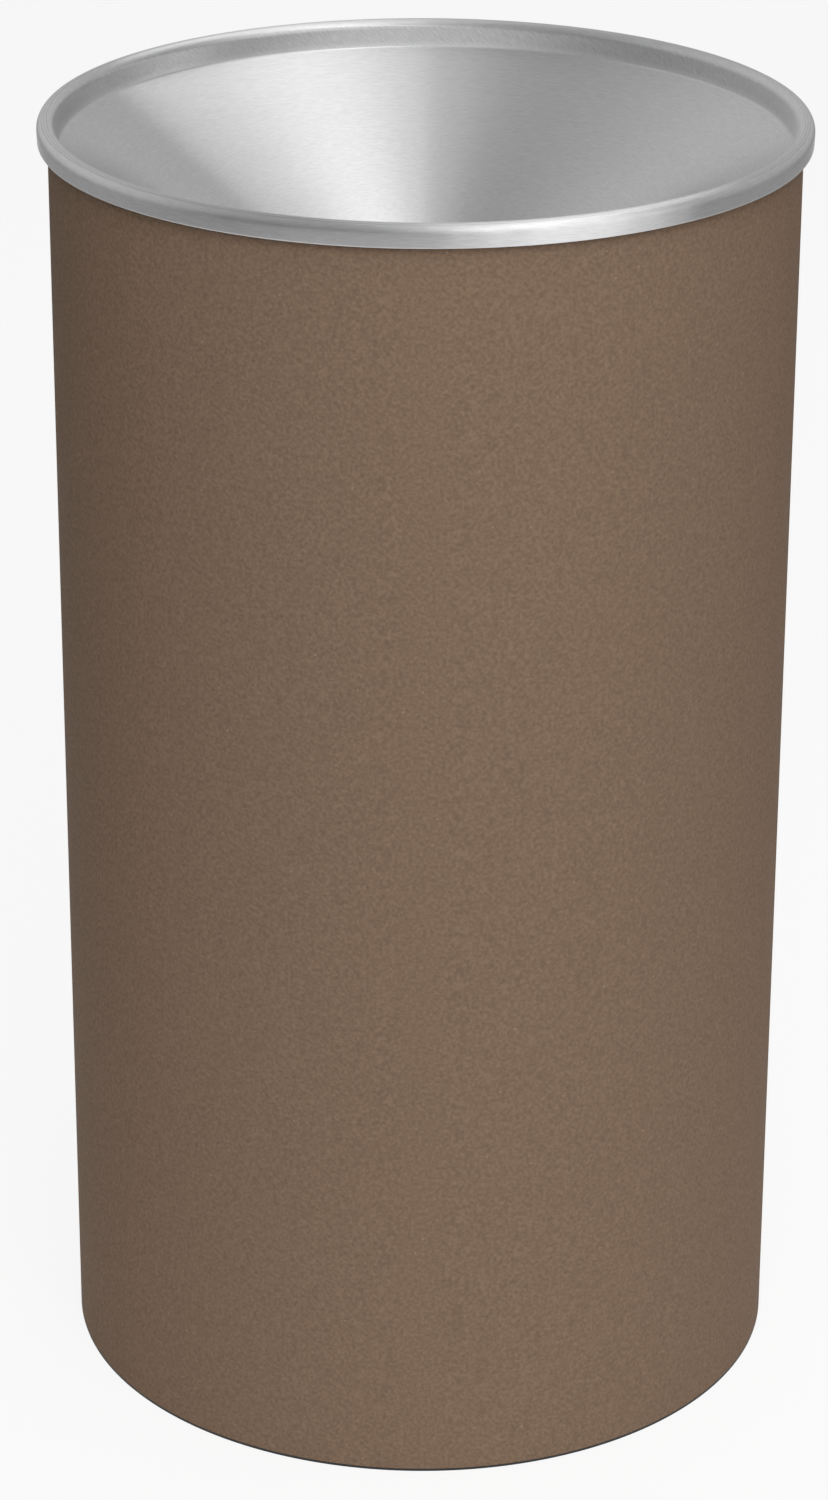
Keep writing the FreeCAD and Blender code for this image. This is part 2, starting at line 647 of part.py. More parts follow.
def rivet_solid():
    """One rivet along Z from the upright axis: inner head, shank and outer head."""
    shank, head, rise = size("rivet_dia") / 2, size("rivet_head_dia") / 2, size("rivet_head_height")
    inner_seat = place("ear_face") - size("fit_clearance")
    outer_seat = place("liner_outer") + size("fit_clearance")
    dome = (head ** 2 + rise ** 2) / (2 * rise)
    half_angle = math.asin(head / dome) / 2
    bow, sink = dome * math.sin(half_angle), dome * (1 - math.cos(half_angle))

    def point(across, along):
        return FreeCAD.Vector(across, 0, along)

    corners = [
        point(head, inner_seat),
        point(shank, inner_seat),
        point(shank, outer_seat),
        point(head, outer_seat),
    ]
    inner_tip, outer_tip = point(0, inner_seat - rise), point(0, outer_seat + rise)
    edges = [
        Part.Arc(inner_tip, point(bow, inner_seat - rise + sink), corners[0]).toShape(),
        *[Part.makeLine(first, last) for first, last in zip(corners, corners[1:])],
        Part.Arc(corners[-1], point(bow, outer_seat + rise - sink), outer_tip).toShape(),
        Part.makeLine(outer_tip, inner_tip),
    ]
    return Part.Face(Part.Wire(edges)).revolve(FreeCAD.Vector(), FreeCAD.Vector(0, 0, 1), 360)


def make_ear_rivets():
    """The ears' rivets, two to an ear, as a group of separate solids."""
    rivets = []
    for spot in EAR_SPOTS:
        for rivet_place in rivet_placements(spot):
            rivet = rivet_solid()
            rivet.Placement = rivet_place
            rivets.append(rivet)
    group = doc.addObject("Part::Feature", "ear_rivets")
    group.Shape = Part.makeCompound(rivets)
    return group


def make_handle(name, side):
    """Wire drop handle: two pivots, two legs and a grip bar, hanging inside the liner."""
    body = new_body(name)
    reach = f"{side} * places.hinge_reach"
    path = new_sketch(body, f"{name}_path", "YZ_Plane", reach)
    bend_side = "places.leg_side + sizes.pivot_bend"
    bend_level = "places.hinge_level - sizes.pivot_bend"
    bar_side = "places.leg_side - sizes.handle_bend"
    bar_level = "places.grip_level + sizes.handle_bend"
    draw(path, [
        ("-places.pivot_tip", "places.hinge_level"),
        (f"-({bend_side})", "places.hinge_level"),
        ("-places.leg_side", bend_level, "sizes.pivot_bend", RIGHT),
        ("-places.leg_side", bar_level),
        (f"-({bar_side})", "places.grip_level", "sizes.handle_bend", LEFT),
        (bar_side, "places.grip_level"),
        ("places.leg_side", bar_level, "sizes.handle_bend", LEFT),
        ("places.leg_side", bend_level),
        (bend_side, "places.hinge_level", "sizes.pivot_bend", RIGHT),
        ("places.pivot_tip", "places.hinge_level"),
    ], closed=False)
    section = new_sketch(body, f"{name}_section", "XZ_Plane", "places.pivot_tip")
    middle = FreeCAD.Vector(number(reach), place("hinge_level"), 0)
    wire_radius = size("handle_wire_dia") / 2
    circle = section.addGeometry(Part.Circle(middle, FreeCAD.Vector(0, 0, 1), wire_radius))
    index = section.addConstraint(Sketcher.Constraint("Radius", circle, wire_radius))
    section.setExpression(f"Constraints[{index}]", "sizes.handle_wire_dia / 2")
    pin_point(section, circle, CENTRE_INDEX, reach, "places.hinge_level")
    doc.recompute()
    pipe = body.newObject("PartDesign::AdditivePipe", f"{name}_wire")
    pipe.Profile = section
    pipe.Spine = (path, [f"Edge{position}" for position in range(1, len(path.Shape.Edges) + 1)])
    body.Tip = pipe
    return body


# Build, test and write the sub-parts.

def check_document():
    """Stop if any object of the document failed to compute."""
    for obj in doc.Objects:
        if "Invalid" in obj.State or "Error" in obj.State:
            raise RuntimeError(f"{obj.Label} failed: {obj.State}")


def write_part(part):
    """Test one sub-part's shape and write it under its name."""
    shape = part.Shape
    if shape.isNull() or not shape.isValid() or not shape.Solids:
        raise RuntimeError(f"{part.Label} has no valid solid")
    shape.exportStep(os.path.join("parts", part.Label + ".step"))
    print(f"{part.Label}: {len(shape.Solids)} solids, {shape.Volume:.1f} mm3")


sub_parts = [
    make_body_shell(),
    make_base_plate(),
    make_foot_ring(),
    make_mouth_trim(),
    make_funnel_top(),
    make_liner_wall(),
    make_liner_floor(),
    make_rim_wire(),
    *[make_ear(spot) for spot in EAR_SPOTS],
    make_ear_rivets(),
    make_handle("right_handle", 1),
    make_handle("left_handle", -1),
]
doc.recompute()
check_document()
os.makedirs("parts", exist_ok=True)
for sub_part in sub_parts:
    write_part(sub_part)
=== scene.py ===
"""Looks of the round trash receptacle: shells, funnel top, liner, handles, finishes and studio.

Every size is in metres, in the frame of the packed model: +Z up, the floor at Z = 0, front at -Y.
"""
import json
import math

import bpy
from bpy.props import FloatProperty, FloatVectorProperty, IntProperty, PointerProperty
from bpy.types import Operator, Panel, PropertyGroup
from mathutils import Matrix, Vector


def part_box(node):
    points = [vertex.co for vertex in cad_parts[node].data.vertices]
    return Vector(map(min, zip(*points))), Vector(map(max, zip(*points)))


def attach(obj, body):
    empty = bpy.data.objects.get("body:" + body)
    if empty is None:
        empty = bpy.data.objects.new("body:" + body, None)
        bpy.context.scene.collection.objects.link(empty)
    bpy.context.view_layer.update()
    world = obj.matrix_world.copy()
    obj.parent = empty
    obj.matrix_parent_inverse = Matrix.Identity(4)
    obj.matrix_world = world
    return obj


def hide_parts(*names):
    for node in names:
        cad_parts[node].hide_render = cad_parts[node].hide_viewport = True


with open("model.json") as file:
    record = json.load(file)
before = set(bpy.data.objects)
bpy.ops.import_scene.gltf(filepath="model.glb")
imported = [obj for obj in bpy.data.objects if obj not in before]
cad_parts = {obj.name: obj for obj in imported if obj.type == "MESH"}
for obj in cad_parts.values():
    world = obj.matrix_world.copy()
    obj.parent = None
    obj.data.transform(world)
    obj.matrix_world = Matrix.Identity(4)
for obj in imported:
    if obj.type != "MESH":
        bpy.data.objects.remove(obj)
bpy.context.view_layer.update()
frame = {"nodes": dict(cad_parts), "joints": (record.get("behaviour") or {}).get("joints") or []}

bl_info = {
    "name": "Trash receptacle",
    "version": (1, 0, 0),
    "blender": (4, 5, 0),
    "location": "View3D > Sidebar > Receptacle",
    "description": "Dresses the packed trash receptacle with its shells, finishes and studio",
    "category": "Object",
}

EAR_NODES = ("right_front_ear", "right_rear_ear", "left_front_ear", "left_rear_ear")
FULL_TURN = 2 * math.pi
QUARTER_TURN = math.pi / 2

# Points closer than this are one point
MERGE_DISTANCE = 1e-6
# Faces that meet at less than this are shaded as one surface
SMOOTH_ANGLE = math.radians(32)
# An ear's facets that meet at less than the first are one face, and at more than the second an edge
FLAT_ANGLE = math.radians(1)
EDGE_ANGLE = math.radians(40)
# Facets round a wire or a rivet
WIRE_TURNS = 32
# Side of the small plane that is merged into the first point of an outline
SEED_SIZE = 0.01
# Liner's sheet, the wire in its curled rim and the gap round that wire
LINER_SHEET = 0.00075
RIM_WIRE = 0.0025
WIRE_GAP = 0.0003
# Share of the way to its aim by which each lamp of a softbox lies before the last one
LAYER_STEP = 0.005


# Measures read from the packed model

def reach(node_name):
    """Largest distance of a packed node from the upright axis."""
    return max(math.hypot(vertex.co.x, vertex.co.y) for vertex in frame["nodes"][node_name].data.vertices)


def low(node_name):
    """Lowest level of a packed node."""
    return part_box(node_name)[0].z


def high(node_name):
    """Highest level of a packed node."""
    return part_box(node_name)[1].z


def joint_place(joint_name):
    """Point on a joint's axis."""
    return Vector(next(joint["pos_m"] for joint in frame["joints"] if joint["name"] == joint_name))


# Sizes and colours that a user would change

def length(label, default, note):
    """A length property in metres."""
    return FloatProperty(name=label, description=note, default=default, precision=5, unit="LENGTH")


def lengths(label, default, note):
    """Three lengths in metres."""
    return FloatVectorProperty(name=label, description=note, default=default, precision=5, unit="LENGTH")


def angle(label, default, note):
    """An angle property, its default in degrees."""
    return FloatProperty(name=label, description=note, default=math.radians(default), subtype="ANGLE")


def power(label, default, note):
    """A lamp's power in watts."""
    return FloatProperty(name=label, description=note, default=default, min=0, unit="POWER")


def focal_length(label, default, note):
    """A lens's focal length in millimetres."""
    return FloatProperty(name=label, description=note, default=default, min=1, unit="CAMERA")


def share(label, default, note):
    """A part of one."""
    return FloatProperty(name=label, description=note, default=default, min=0, max=1, subtype="FACTOR")


def count(label, default, note):
    """A whole number."""
    return IntProperty(name=label, description=note, default=default, min=1)


def colour(label, default, note):
    """A linear colour property."""
    return FloatVectorProperty(
        name=label, description=note, default=default, size=3, min=0, max=1, subtype="COLOR"
    )


class BodySizes(PropertyGroup):
    """Steel cylinder, base plate and the two vinyl rings."""

    turns: count("Steps round", 288, "Facets round each turned shell")
    radius: length("Radius", reach("body_shell"), "Outside of the steel cylinder")
    top: length("Top", high("body_shell"), "Upper edge of the cylinder")
    bottom: length("Bottom", low("body_shell"), "Lower edge of the cylinder")
    wall: length("Wall", 0.0009, "Sheet of the cylinder")
    lap_width: length("Lap", 0.022, "Overlap of the sheet at the back seam")
    seam_width: length("Seam width", 0.0008, "Line that the back seam leaves outside")
    seam_depth: length("Seam depth", 0.0004, "Depth of that line")
    foot_width: length("Foot width", 0.007, "Vinyl foot under the cylinder")
    foot_leg: length("Foot leg", 0.0015, "Leg of the foot ring inside the cylinder")
    foot_round: length("Foot round", 0.0004, "Rounded edges of the foot ring")
    trim_wall: length("Trim wall", 0.0013, "Vinyl trim on the mouth")
    fit: length("Fit", 0.0001, "Gap between pressed pieces")
    base_sheet: length("Base sheet", 0.0009, "Sheet of the base plate")
    base_bend: length("Base bend", 0.004, "Radius where the base plate turns down")
    dish_radius: length("Dish radius", 0.165, "Pressed dish in the base plate")
    dish_depth: length("Dish depth", 0.004, "Depth of that dish")
    dish_round: length("Dish round", 0.003, "Rounded edges of that dish")


class FunnelSizes(PropertyGroup):
    """Spun aluminium funnel top."""

    sheet: length("Sheet", 0.0015, "Sheet of the funnel top")
    top: length("Top", high("funnel_top"), "Top of the rim")
    outside: length("Outside", reach("funnel_top"), "Outside of the rim")
    outer_round: length("Outer round", 0.006, "Round of the rim on its outer side")
    inner_round: length("Inner round", 0.0059, "Round of the rim on its inner side")
    skirt_depth: length("Skirt depth", 0.0149, "Rim's top to the skirt's lower edge")
    skirt_inset: length("Skirt inset", 0.0003, "How far the skirt's lower edge curls in")
    wall_depth: length("Wall depth", 0.0187, "Rim's top to the corner where the cone starts")
    wall_lean: length("Wall lean", 0.0014, "How far the wall above that corner leans in")
    cone_angle: angle("Cone angle", 35, "Slope of the cone")
    corner_round: length("Corner round", 0.0025, "Round between wall and cone")
    grooves: lengths("Grooves", (0.0034, 0.005, 0.0068), "Rim's outside to each of its three fine grooves")
    throat_radius: length("Throat radius", 0.09, "Opening of the funnel")
    throat_round: length("Throat round", 0.006, "Round between cone and lip")
    lip_bottom: length("Lip bottom", low("funnel_top"), "Lower edge of the throat's lip")


class LinerSizes(PropertyGroup):
    """Galvanised liner with the wire in its curled rim."""

    sheet: length("Sheet", LINER_SHEET, "Sheet of the liner")
    bottom: length("Bottom", low("liner_wall"), "Lower edge of the liner")
    top: length("Top", high("liner_wall"), "Top of the curled rim")
    curl_outside: length("Curl outside", reach("rim_wire") + WIRE_GAP + LINER_SHEET, "Outside of the rim")
    curl_round: length("Curl round", RIM_WIRE + WIRE_GAP + LINER_SHEET, "Outer radius of the curl")
    curl_leg: length("Curl leg", 0.003, "Straight end of the curl")
    wire_radius: length("Rim wire", RIM_WIRE, "Radius of the wire in the curl")
    fold: length("Fold", 0.004, "Lower edge folded in under the floor")
    floor_top: length("Floor top", high("liner_floor"), "Upper face of the floor")
    floor_radius: length("Floor radius", reach("liner_floor"), "Outside of the floor's flange")
    floor_bend: length("Floor bend", 0.003, "Radius where the floor turns down")
    swages: count("Swages", 3, "Stiffening swages in the wall")
    swage_width: length("Swage width", 0.016, "Height of each swage")
    swage_rise: length("Swage rise", 0.0025, "How far a swage stands out")
    seam_width: length("Seam width", 0.008, "Lock seam up the back")
    seam_rise: length("Seam rise", 0.0014, "How far the lock seam stands out")


class HandleSizes(PropertyGroup):
    """Handles of the liner, their ears and rivets."""

    wire: length("Wire", 0.003, "Radius of the handles' wire")
    span: length("Span", 0.09, "Between the legs of a handle")
    drop: length("Drop", 0.052, "Pivot to grip bar")
    grip_bend: length("Grip bend", 0.014, "Bend between a leg and the grip bar")
    pivot_bend: length("Pivot bend", 0.007, "Bend between a leg and its pivot")
    tip_round: length("Tip round", 0.0007, "Rounded ends of the pivots")
    ear_round: length("Ear round", 0.0004, "Rounded edges of the ears")
    rivet_shank: length("Rivet shank", 0.002, "Radius of a rivet's shank")
    rivet_head: length("Rivet head", 0.004, "Radius of a rivet's head")
    rivet_rise: length("Rivet rise", 0.0018, "Rise of a rivet's head")
    rivet_offset: length("Rivet offset", 0.0135, "Pivot's level to each of an ear's rivets")
    inner_seat: length("Inner seat", 0.0019, "Liner's inner face to a rivet's inner head")
    outer_seat: length("Outer seat", 0.00085, "Liner's inner face to a rivet's outer head")


class FinishColours(PropertyGroup):
    """Linear colours of the finishes."""

    paint: colour("Paint", (0.212, 0.143, 0.098), "Brown textured powder coat")
    aluminium: colour("Aluminium", (0.8, 0.8, 0.805), "Spun aluminium")
    zinc: colour("Zinc", (0.5, 0.52, 0.54), "Galvanised sheet")
    plating: colour("Plating", (0.62, 0.62, 0.6), "Zinc plated wire and ears")
    vinyl: colour("Vinyl", (0.012, 0.012, 0.013), "Black vinyl rings")
    paper: colour("Paper", (0.86, 0.86, 0.86), "White paper that the object stands on")
    # Painted shade and painted light: the bare floor's grey is darker in front of the object than behind it
    shaded_floor_front: colour("Floor in front", (0.21, 0.21, 0.21), "Bare studio floor in front of the object")
    lit_floor_back: colour("Floor behind", (0.45, 0.45, 0.45), "Bare studio floor behind the object")


class StudioSettings(PropertyGroup):
    """Camera, lamps and floor of the studio."""

    distance: length("Distance", 3.1367, "Camera to the point that it looks at")
    aim_height: length("Aim height", 0.43157, "Height of that point")
    aim_side: length("Aim side", -0.00608, "Sideways place of that point")
    pitch: angle("Pitch", 23.47, "How far the camera looks down")
    roll: angle("Roll", 0.23, "Turn about the line of sight")
    lens: focal_length("Lens", 107.7, "Focal length of the camera")
    floor_size: length("Floor size", 24.0, "Side of the studio floor")
    floor_fade: length("Floor fade", 1.5, "How far from the object the floor's grey changes")
    paper_half: length("Paper half width", 1.0, "Half the width of the white paper that the object stands on")
    paper_front: length("Paper front", 0.38, "How far that paper reaches in front of the object")
    # Painted pool of light: the paper's fade into the grey floor, to the sides and towards the camera
    paper_light_falloff: length("Paper fade", 0.4, "Width over which the paper fades into the grey floor")
    paper_light_falloff_front: length("Paper reach", 1.9, "Width over which it fades in front, towards the camera")
    paper_glow: share("Paper glow", 0.87, "Share of plain white in the paper as it is seen")
    backdrop: share("Backdrop", 0.93, "White that the camera sees beyond the floor")
    back_left: share("Back left", 0.575, "Grey of the room behind the object, at the left")
    back_right: share("Back right", 0.45, "Grey of the room behind the object, at the right")
    front_grey: share("Front", 0.42, "Grey of the room in front of the object")
    left_grey: share("Front left", 0.15, "Grey of the room at the front left")
    ceiling: share("Ceiling", 0.39, "Grey of the room overhead")
    top_side: length("Top side", 0.675, "Sideways place of the softbox overhead")
    top_height: length("Top height", 3.1, "Height of that softbox")
    top_width: length("Top width", 2.15, "Width of that softbox, from left to right")
    top_front: length("Top front", 0.9, "How far the middle of that softbox lies in front of the object")
    top_depth: length("Top depth", 7.0, "Depth of that softbox, from front to back")
    top_skew: length("Top skew", 0.12, "How much further right each brighter strip of it lies")
    top_layers: count("Top layers", 4, "Lamps in that softbox, brightest along its middle")
    top_glow: share("Top glow", 0.24, "Brightness of each of those lamps")
    card_angle: angle("Card angle", 42, "Turn of the tall card from the front to the right")
    card_distance: length("Card distance", 1.6, "That card to the upright axis")
    card_width: length("Card width", 2.3, "Width of that card")
    card_height: length("Card height", 2.85, "Height of that card")
    card_layers: count("Card layers", 3, "Lamps in that card, brightest along its middle")
    card_glow: share("Card glow", 0.25, "Brightness of each of those lamps")
    fill_power: power("Fill power", 80.0, "Power of the fill lamp in front")
    fill_place: lengths("Fill place", (0.5, -3.1, 2.45), "Where that lamp stands")
    fill_aim: lengths("Fill aim", (0.0, 0.0, 0.45), "Point that it is turned to")
    fill_size: length("Fill size", 2.5, "Side of that lamp")


# Modelling helpers

def start_clean():
    """Leave edit mode and deselect everything."""
    if bpy.context.mode != "OBJECT":
        bpy.ops.object.mode_set(mode="OBJECT")
    bpy.ops.object.select_all(action="DESELECT")


def pick(piece):
    """Select one piece alone and make it active."""
    start_clean()
    piece.select_set(True)
    bpy.context.view_layer.objects.active = piece


def edit(piece):
    """Open one piece in edit mode."""
    pick(piece)
    bpy.ops.object.mode_set(mode="EDIT")


def settle():
    """Put the selected piece's place, turn and scale into its mesh."""
    bpy.ops.object.transform_apply(location=True, rotation=True, scale=True)


def named(name):
    """Name the piece just added and settle its place and size in its mesh."""
    piece = bpy.context.active_object
    piece.name = name
    piece.data.name = name
    settle()
    return piece


def apply_modifier(piece, kind, **settings):
    """Add a modifier to a piece and apply it."""
    pick(piece)
    modifier = piece.modifiers.new(kind.title(), kind)
    for name, value in settings.items():
        setattr(modifier, name, value)
    bpy.ops.object.modifier_apply(modifier=modifier.name)


def select_faces(piece, test):
    """In edit mode, select only the faces whose centre and normal pass a test."""
    bpy.ops.mesh.select_mode(type="FACE")
    bpy.ops.mesh.select_all(action="DESELECT")
    bpy.ops.object.mode_set(mode="OBJECT")
    for face in piece.data.polygons:
        face.select = test(face.center, face.normal)
    bpy.ops.object.mode_set(mode="EDIT")


def close_mesh(piece):
    """In edit mode, merge doubled points and turn every normal outwards, then leave edit mode."""
    bpy.ops.mesh.select_all(action="SELECT")
    bpy.ops.mesh.remove_doubles(threshold=MERGE_DISTANCE)
    bpy.ops.mesh.normals_make_consistent(inside=False)
    bpy.ops.object.mode_set(mode="OBJECT")
    return piece


def add_box(name, corner, far_corner):
    """A box between two corners."""
    start_clean()
    corner, far_corner = Vector(corner), Vector(far_corner)
    bpy.ops.mesh.primitive_cube_add(size=1, location=(corner + far_corner) / 2, scale=far_corner - corner)
    return named(name)


def combine_meshes(piece, tool, operation):
    """Join a tool to a piece, or cut it out, and delete the tool."""
    apply_modifier(piece, "BOOLEAN", object=tool, operation=operation, solver="EXACT")
    bpy.data.objects.remove(tool)


def copy_of(piece, name):
    """A separate copy of a piece with a mesh of its own."""
    pick(piece)
    bpy.ops.object.duplicate(linked=False)
    return named(name)


# Sections, as points of (radius, height)

def arc(centre, radius, first, last, steps=8):
    """Points of an arc from one angle to another in degrees, both ends included."""
    turns = [math.radians(first + (last - first) * step / steps) for step in range(steps + 1)]
    return [(centre[0] + radius * math.cos(turn), centre[1] + radius * math.sin(turn)) for turn in turns]


def fillet(before, corner, after, radius, steps=6):
    """Points that round a corner between two straight stretches."""
    here = Vector(corner)
    back = (Vector(before) - here).normalized()
    ahead = (Vector(after) - here).normalized()
    half = back.angle(ahead) / 2
    middle = here + (back + ahead).normalized() * (radius / math.sin(half))
    tangent = radius / math.tan(half)
    starts = [here + way * tangent - middle for way in (back, ahead)]
    first, last = [math.atan2(start.y, start.x) for start in starts]
    swing = (last - first + math.pi) % FULL_TURN - math.pi
    return arc(middle, radius, math.degrees(first), math.degrees(first + swing), steps)


def rounded(corners, radius):
    """Closed section with every corner rounded alike."""
    points = []
    for index, corner in enumerate(corners):
        after = corners[(index + 1) % len(corners)]
        points += fillet(corners[index - 1], corner, after, radius, steps=3)
    return points + points[:1]


def sheet_section(face, sheet, steps=4):
    """Section of a bent sheet, from one face as points: its back lies to the right of the face.

    A face that starts on the axis gives an open section, which a spin closes.
    """
    points = [Vector(point) for point in face]
    ahead = [(after - point).normalized() for point, after in zip(points, points[1:])]
    along = [ahead[0], *[(one + other).normalized() for one, other in zip(ahead, ahead[1:])], ahead[-1]]
    right = [Vector((way.y, -way.x)) for way in along]
    back = [tuple(point + side * sheet) for point, side in zip(points, right)]

    def round_end(index, way, near):
        middle = points[index] + right[index] * sheet / 2 - way * sheet / 2
        turns = [math.pi * step / steps for step in range(steps + 1)]
        return [tuple(middle + (near * math.cos(turn) + way * math.sin(turn)) * sheet / 2) for turn in turns]

    far_end = round_end(-1, along[-1], -right[-1])
    if face[0][0] == 0:
        return face[:-1] + far_end + back[-2::-1]
    near_end = round_end(0, -along[0], right[0])
    return near_end + face[1:-1] + far_end + back[-2:0:-1] + near_end[:1]


def spin_outline(name, outline, steps):
    """Turn an outline about the upright axis into a closed shell."""
    start_clean()
    bpy.ops.mesh.primitive_plane_add(size=SEED_SIZE, location=(outline[0][0], 0, outline[0][1]))
    piece = named(name)
    bpy.ops.object.mode_set(mode="EDIT")
    bpy.ops.mesh.select_mode(type="VERT")
    bpy.ops.mesh.select_all(action="SELECT")
    bpy.ops.mesh.merge(type="CENTER")
    for (radius, level), (next_radius, next_level) in zip(outline, outline[1:]):
        step = (next_radius - radius, 0, next_level - level)
        bpy.ops.mesh.extrude_vertices_move(TRANSFORM_OT_translate={"value": step})
    bpy.ops.mesh.select_all(action="SELECT")
    bpy.ops.mesh.remove_doubles(threshold=MERGE_DISTANCE)
    bpy.ops.mesh.spin(steps=steps, angle=FULL_TURN, center=(0, 0, 0), axis=(0, 0, 1))
    return close_mesh(piece)


# Material helpers

def new_material(name):
    """A material with an empty tree and its shader linked to its surface."""
    material = bpy.data.materials.new(name)
    material.use_nodes = True
    tree = material.node_tree
    tree.nodes.clear()
    output = tree.nodes.new("ShaderNodeOutputMaterial")
    shader = tree.nodes.new("ShaderNodeBsdfPrincipled")
    tree.links.new(shader.outputs["BSDF"], output.inputs["Surface"])
    return material, tree, shader


def is_socket(value):
    """Whether a value comes from another node."""
    return isinstance(value, bpy.types.NodeSocket)


def fill(tree, socket, value):
    """Link a socket to another node's output, or set its value."""
    if is_socket(value):
        tree.links.new(value, socket)
    else:
        socket.default_value = value


def add_node(tree, kind, inputs, **settings):
    """Add a node, set its options and fill its inputs."""
    made = tree.nodes.new(kind)
    for name, value in settings.items():
        setattr(made, name, value)
    for name, value in inputs.items():
        fill(tree, made.inputs[name], value)
    return made


def feed(tree, shader, **sources):
    """Fill the shader's inputs; an underscore in a name stands for a space."""
    for name, source in sources.items():
        fill(tree, shader.inputs[name.replace("_", " ")], source)


def calculate(tree, operation, first, second=0.0):
    """One step of arithmetic."""
    return add_node(tree, "ShaderNodeMath", {0: first, 1: second}, operation=operation).outputs["Value"]


def times(tree, first, second):
    """One value times another."""
    return calculate(tree, "MULTIPLY", first, second)


def plus(tree, first, second):
    """One value plus another."""
    return calculate(tree, "ADD", first, second)


def vector_of(tree, x, y, z):
    """A vector from three values."""
    return add_node(tree, "ShaderNodeCombineXYZ", {"X": x, "Y": y, "Z": z}).outputs["Vector"]


def noise(tree, vector, scale, detail=2.0, roughness=0.5, **further):
    """Noise between 0 and 1, with a fourth coordinate where W is given."""
    inputs = {"Vector": vector, "Scale": scale, "Detail": detail, "Roughness": roughness, **further}
    dimensions = "4D" if "W" in further else "3D"
    return add_node(tree, "ShaderNodeTexNoise", inputs, noise_dimensions=dimensions).outputs["Fac"]


def cells(tree, vector, scale, output):
    """Distance to the middle, or colour, of cells of uneven shape."""
    return add_node(tree, "ShaderNodeTexVoronoi", {"Vector": vector, "Scale": scale}).outputs[output]


def spread(tree, value, low_in, high_in, low_out, high_out):
    """Map a range of values onto another range, clamped."""
    inputs = {0: value, 1: low_in, 2: high_in, 3: low_out, 4: high_out}
    return add_node(tree, "ShaderNodeMapRange", inputs).outputs["Result"]


def tint(tree, part, first, second):
    """Mix two colours, taking the given part of the second."""
    first, second = [value if is_socket(value) else (*value, 1) for value in (first, second)]
    return add_node(tree, "ShaderNodeMix", {0: part, 6: first, 7: second}, data_type="RGBA").outputs[2]


def bump(tree, height, strength, distance, **below):
    """A bump from a height, on top of another normal where one is given."""
    inputs = {"Height": height, "Strength": strength, "Distance": distance, **below}
    return add_node(tree, "ShaderNodeBump", inputs).outputs["Normal"]


def object_place(tree):
    """Object coordinates and their three parts."""
    place = add_node(tree, "ShaderNodeTexCoord", {}).outputs["Object"]
    parts = add_node(tree, "ShaderNodeSeparateXYZ", {"Vector": place}).outputs
    return place, parts["X"], parts["Y"], parts["Z"]


def around_axis(tree, x, y):
    """Distance from the upright axis, and the direction away from it as two parts."""
    radius = calculate(tree, "SQRT", plus(tree, times(tree, x, x), times(tree, y, y)))
    radius = calculate(tree, "MAXIMUM", radius, MERGE_DISTANCE)
    return radius, calculate(tree, "DIVIDE", x, radius), calculate(tree, "DIVIDE", y, radius)


def scaled(values, factor):
    """A colour made lighter or darker."""
    return tuple(min(value * factor, 1) for value in values)


# Finishes

def textured_paint(name, scene):
    """Brown powder coat with a fine sandy texture, faint patches and a few pale specks."""
    material, tree, shader = new_material(name)
    place = object_place(tree)[0]
    brown = scene.bin_finishes.paint
    warm = (brown.r * 1.08, brown.g, brown.b * 0.96)
    grain = noise(tree, place, scale=430, roughness=0.6)
    fine = noise(tree, place, scale=1300, detail=1.0)
    patches = noise(tree, place, scale=16)
    specks = cells(tree, place, 60.0, "Distance")
    tone = tint(tree, spread(tree, grain, 0.3, 0.7, 0, 1), scaled(brown, 0.81), scaled(brown, 1.19))
    tone = tint(tree, spread(tree, patches, 0.35, 0.75, 0, 0.1), tone, warm)
    tone = tint(tree, spread(tree, specks, 0.035, 0.05, 0.55, 0), tone, scaled(brown, 1.9))
    coarse = bump(tree, grain, strength=0.8, distance=0.0008)
    feed(
        tree, shader,
        Base_Color=tone,
        Roughness=spread(tree, grain, 0.2, 0.8, 0.8, 0.65),
        Normal=bump(tree, fine, strength=0.15, distance=0.0002, Normal=coarse),
        Specular_IOR_Level=0.06,
    )
    return material


def brushed_lines(tree, radius, away_x, away_y, z, length_share, fineness, detail):
    """Noise drawn out round the upright axis, as a spinning tool leaves it."""
    round_x, round_y = [times(tree, away, length_share) for away in (away_x, away_y)]
    place = vector_of(tree, round_x, round_y, times(tree, radius, fineness))
    return noise(tree, place, 1.0, detail, roughness=0.7, W=times(tree, z, fineness))


def hair_scratches(tree, x, y, z, radius, slant, drawn_out, fineness):
    """Noise drawn out aslant on an upright wall, as hand rubbing leaves it."""
    round_wall = times(tree, calculate(tree, "ARCTAN2", x, y), radius)
    along = plus(tree, times(tree, round_wall, math.cos(slant)), times(tree, z, -math.sin(slant)))
    over = plus(tree, times(tree, round_wall, math.sin(slant)), times(tree, z, math.cos(slant)))
    place = vector_of(tree, times(tree, along, drawn_out), times(tree, over, fineness), 0.0)
    return noise(tree, place, 1.0, roughness=0.6)


def near_ring(tree, radius, ring, near, far, most):
    """The given part close to a ring round the upright axis, falling to nothing further off."""
    away = calculate(tree, "ABSOLUTE", plus(tree, radius, -ring))
    return spread(tree, away, near, far, most, 0)


def slanted_brushing(tree, away_x, away_y, turn):
    """Direction of brushing round the upright axis, turned downwards by an angle."""
    level = calculate(tree, "COSINE", turn)
    round_y = times(tree, times(tree, away_x, -1.0), level)
    down = times(tree, calculate(tree, "SINE", turn), -1.0)
    return vector_of(tree, times(tree, away_y, level), round_y, down)


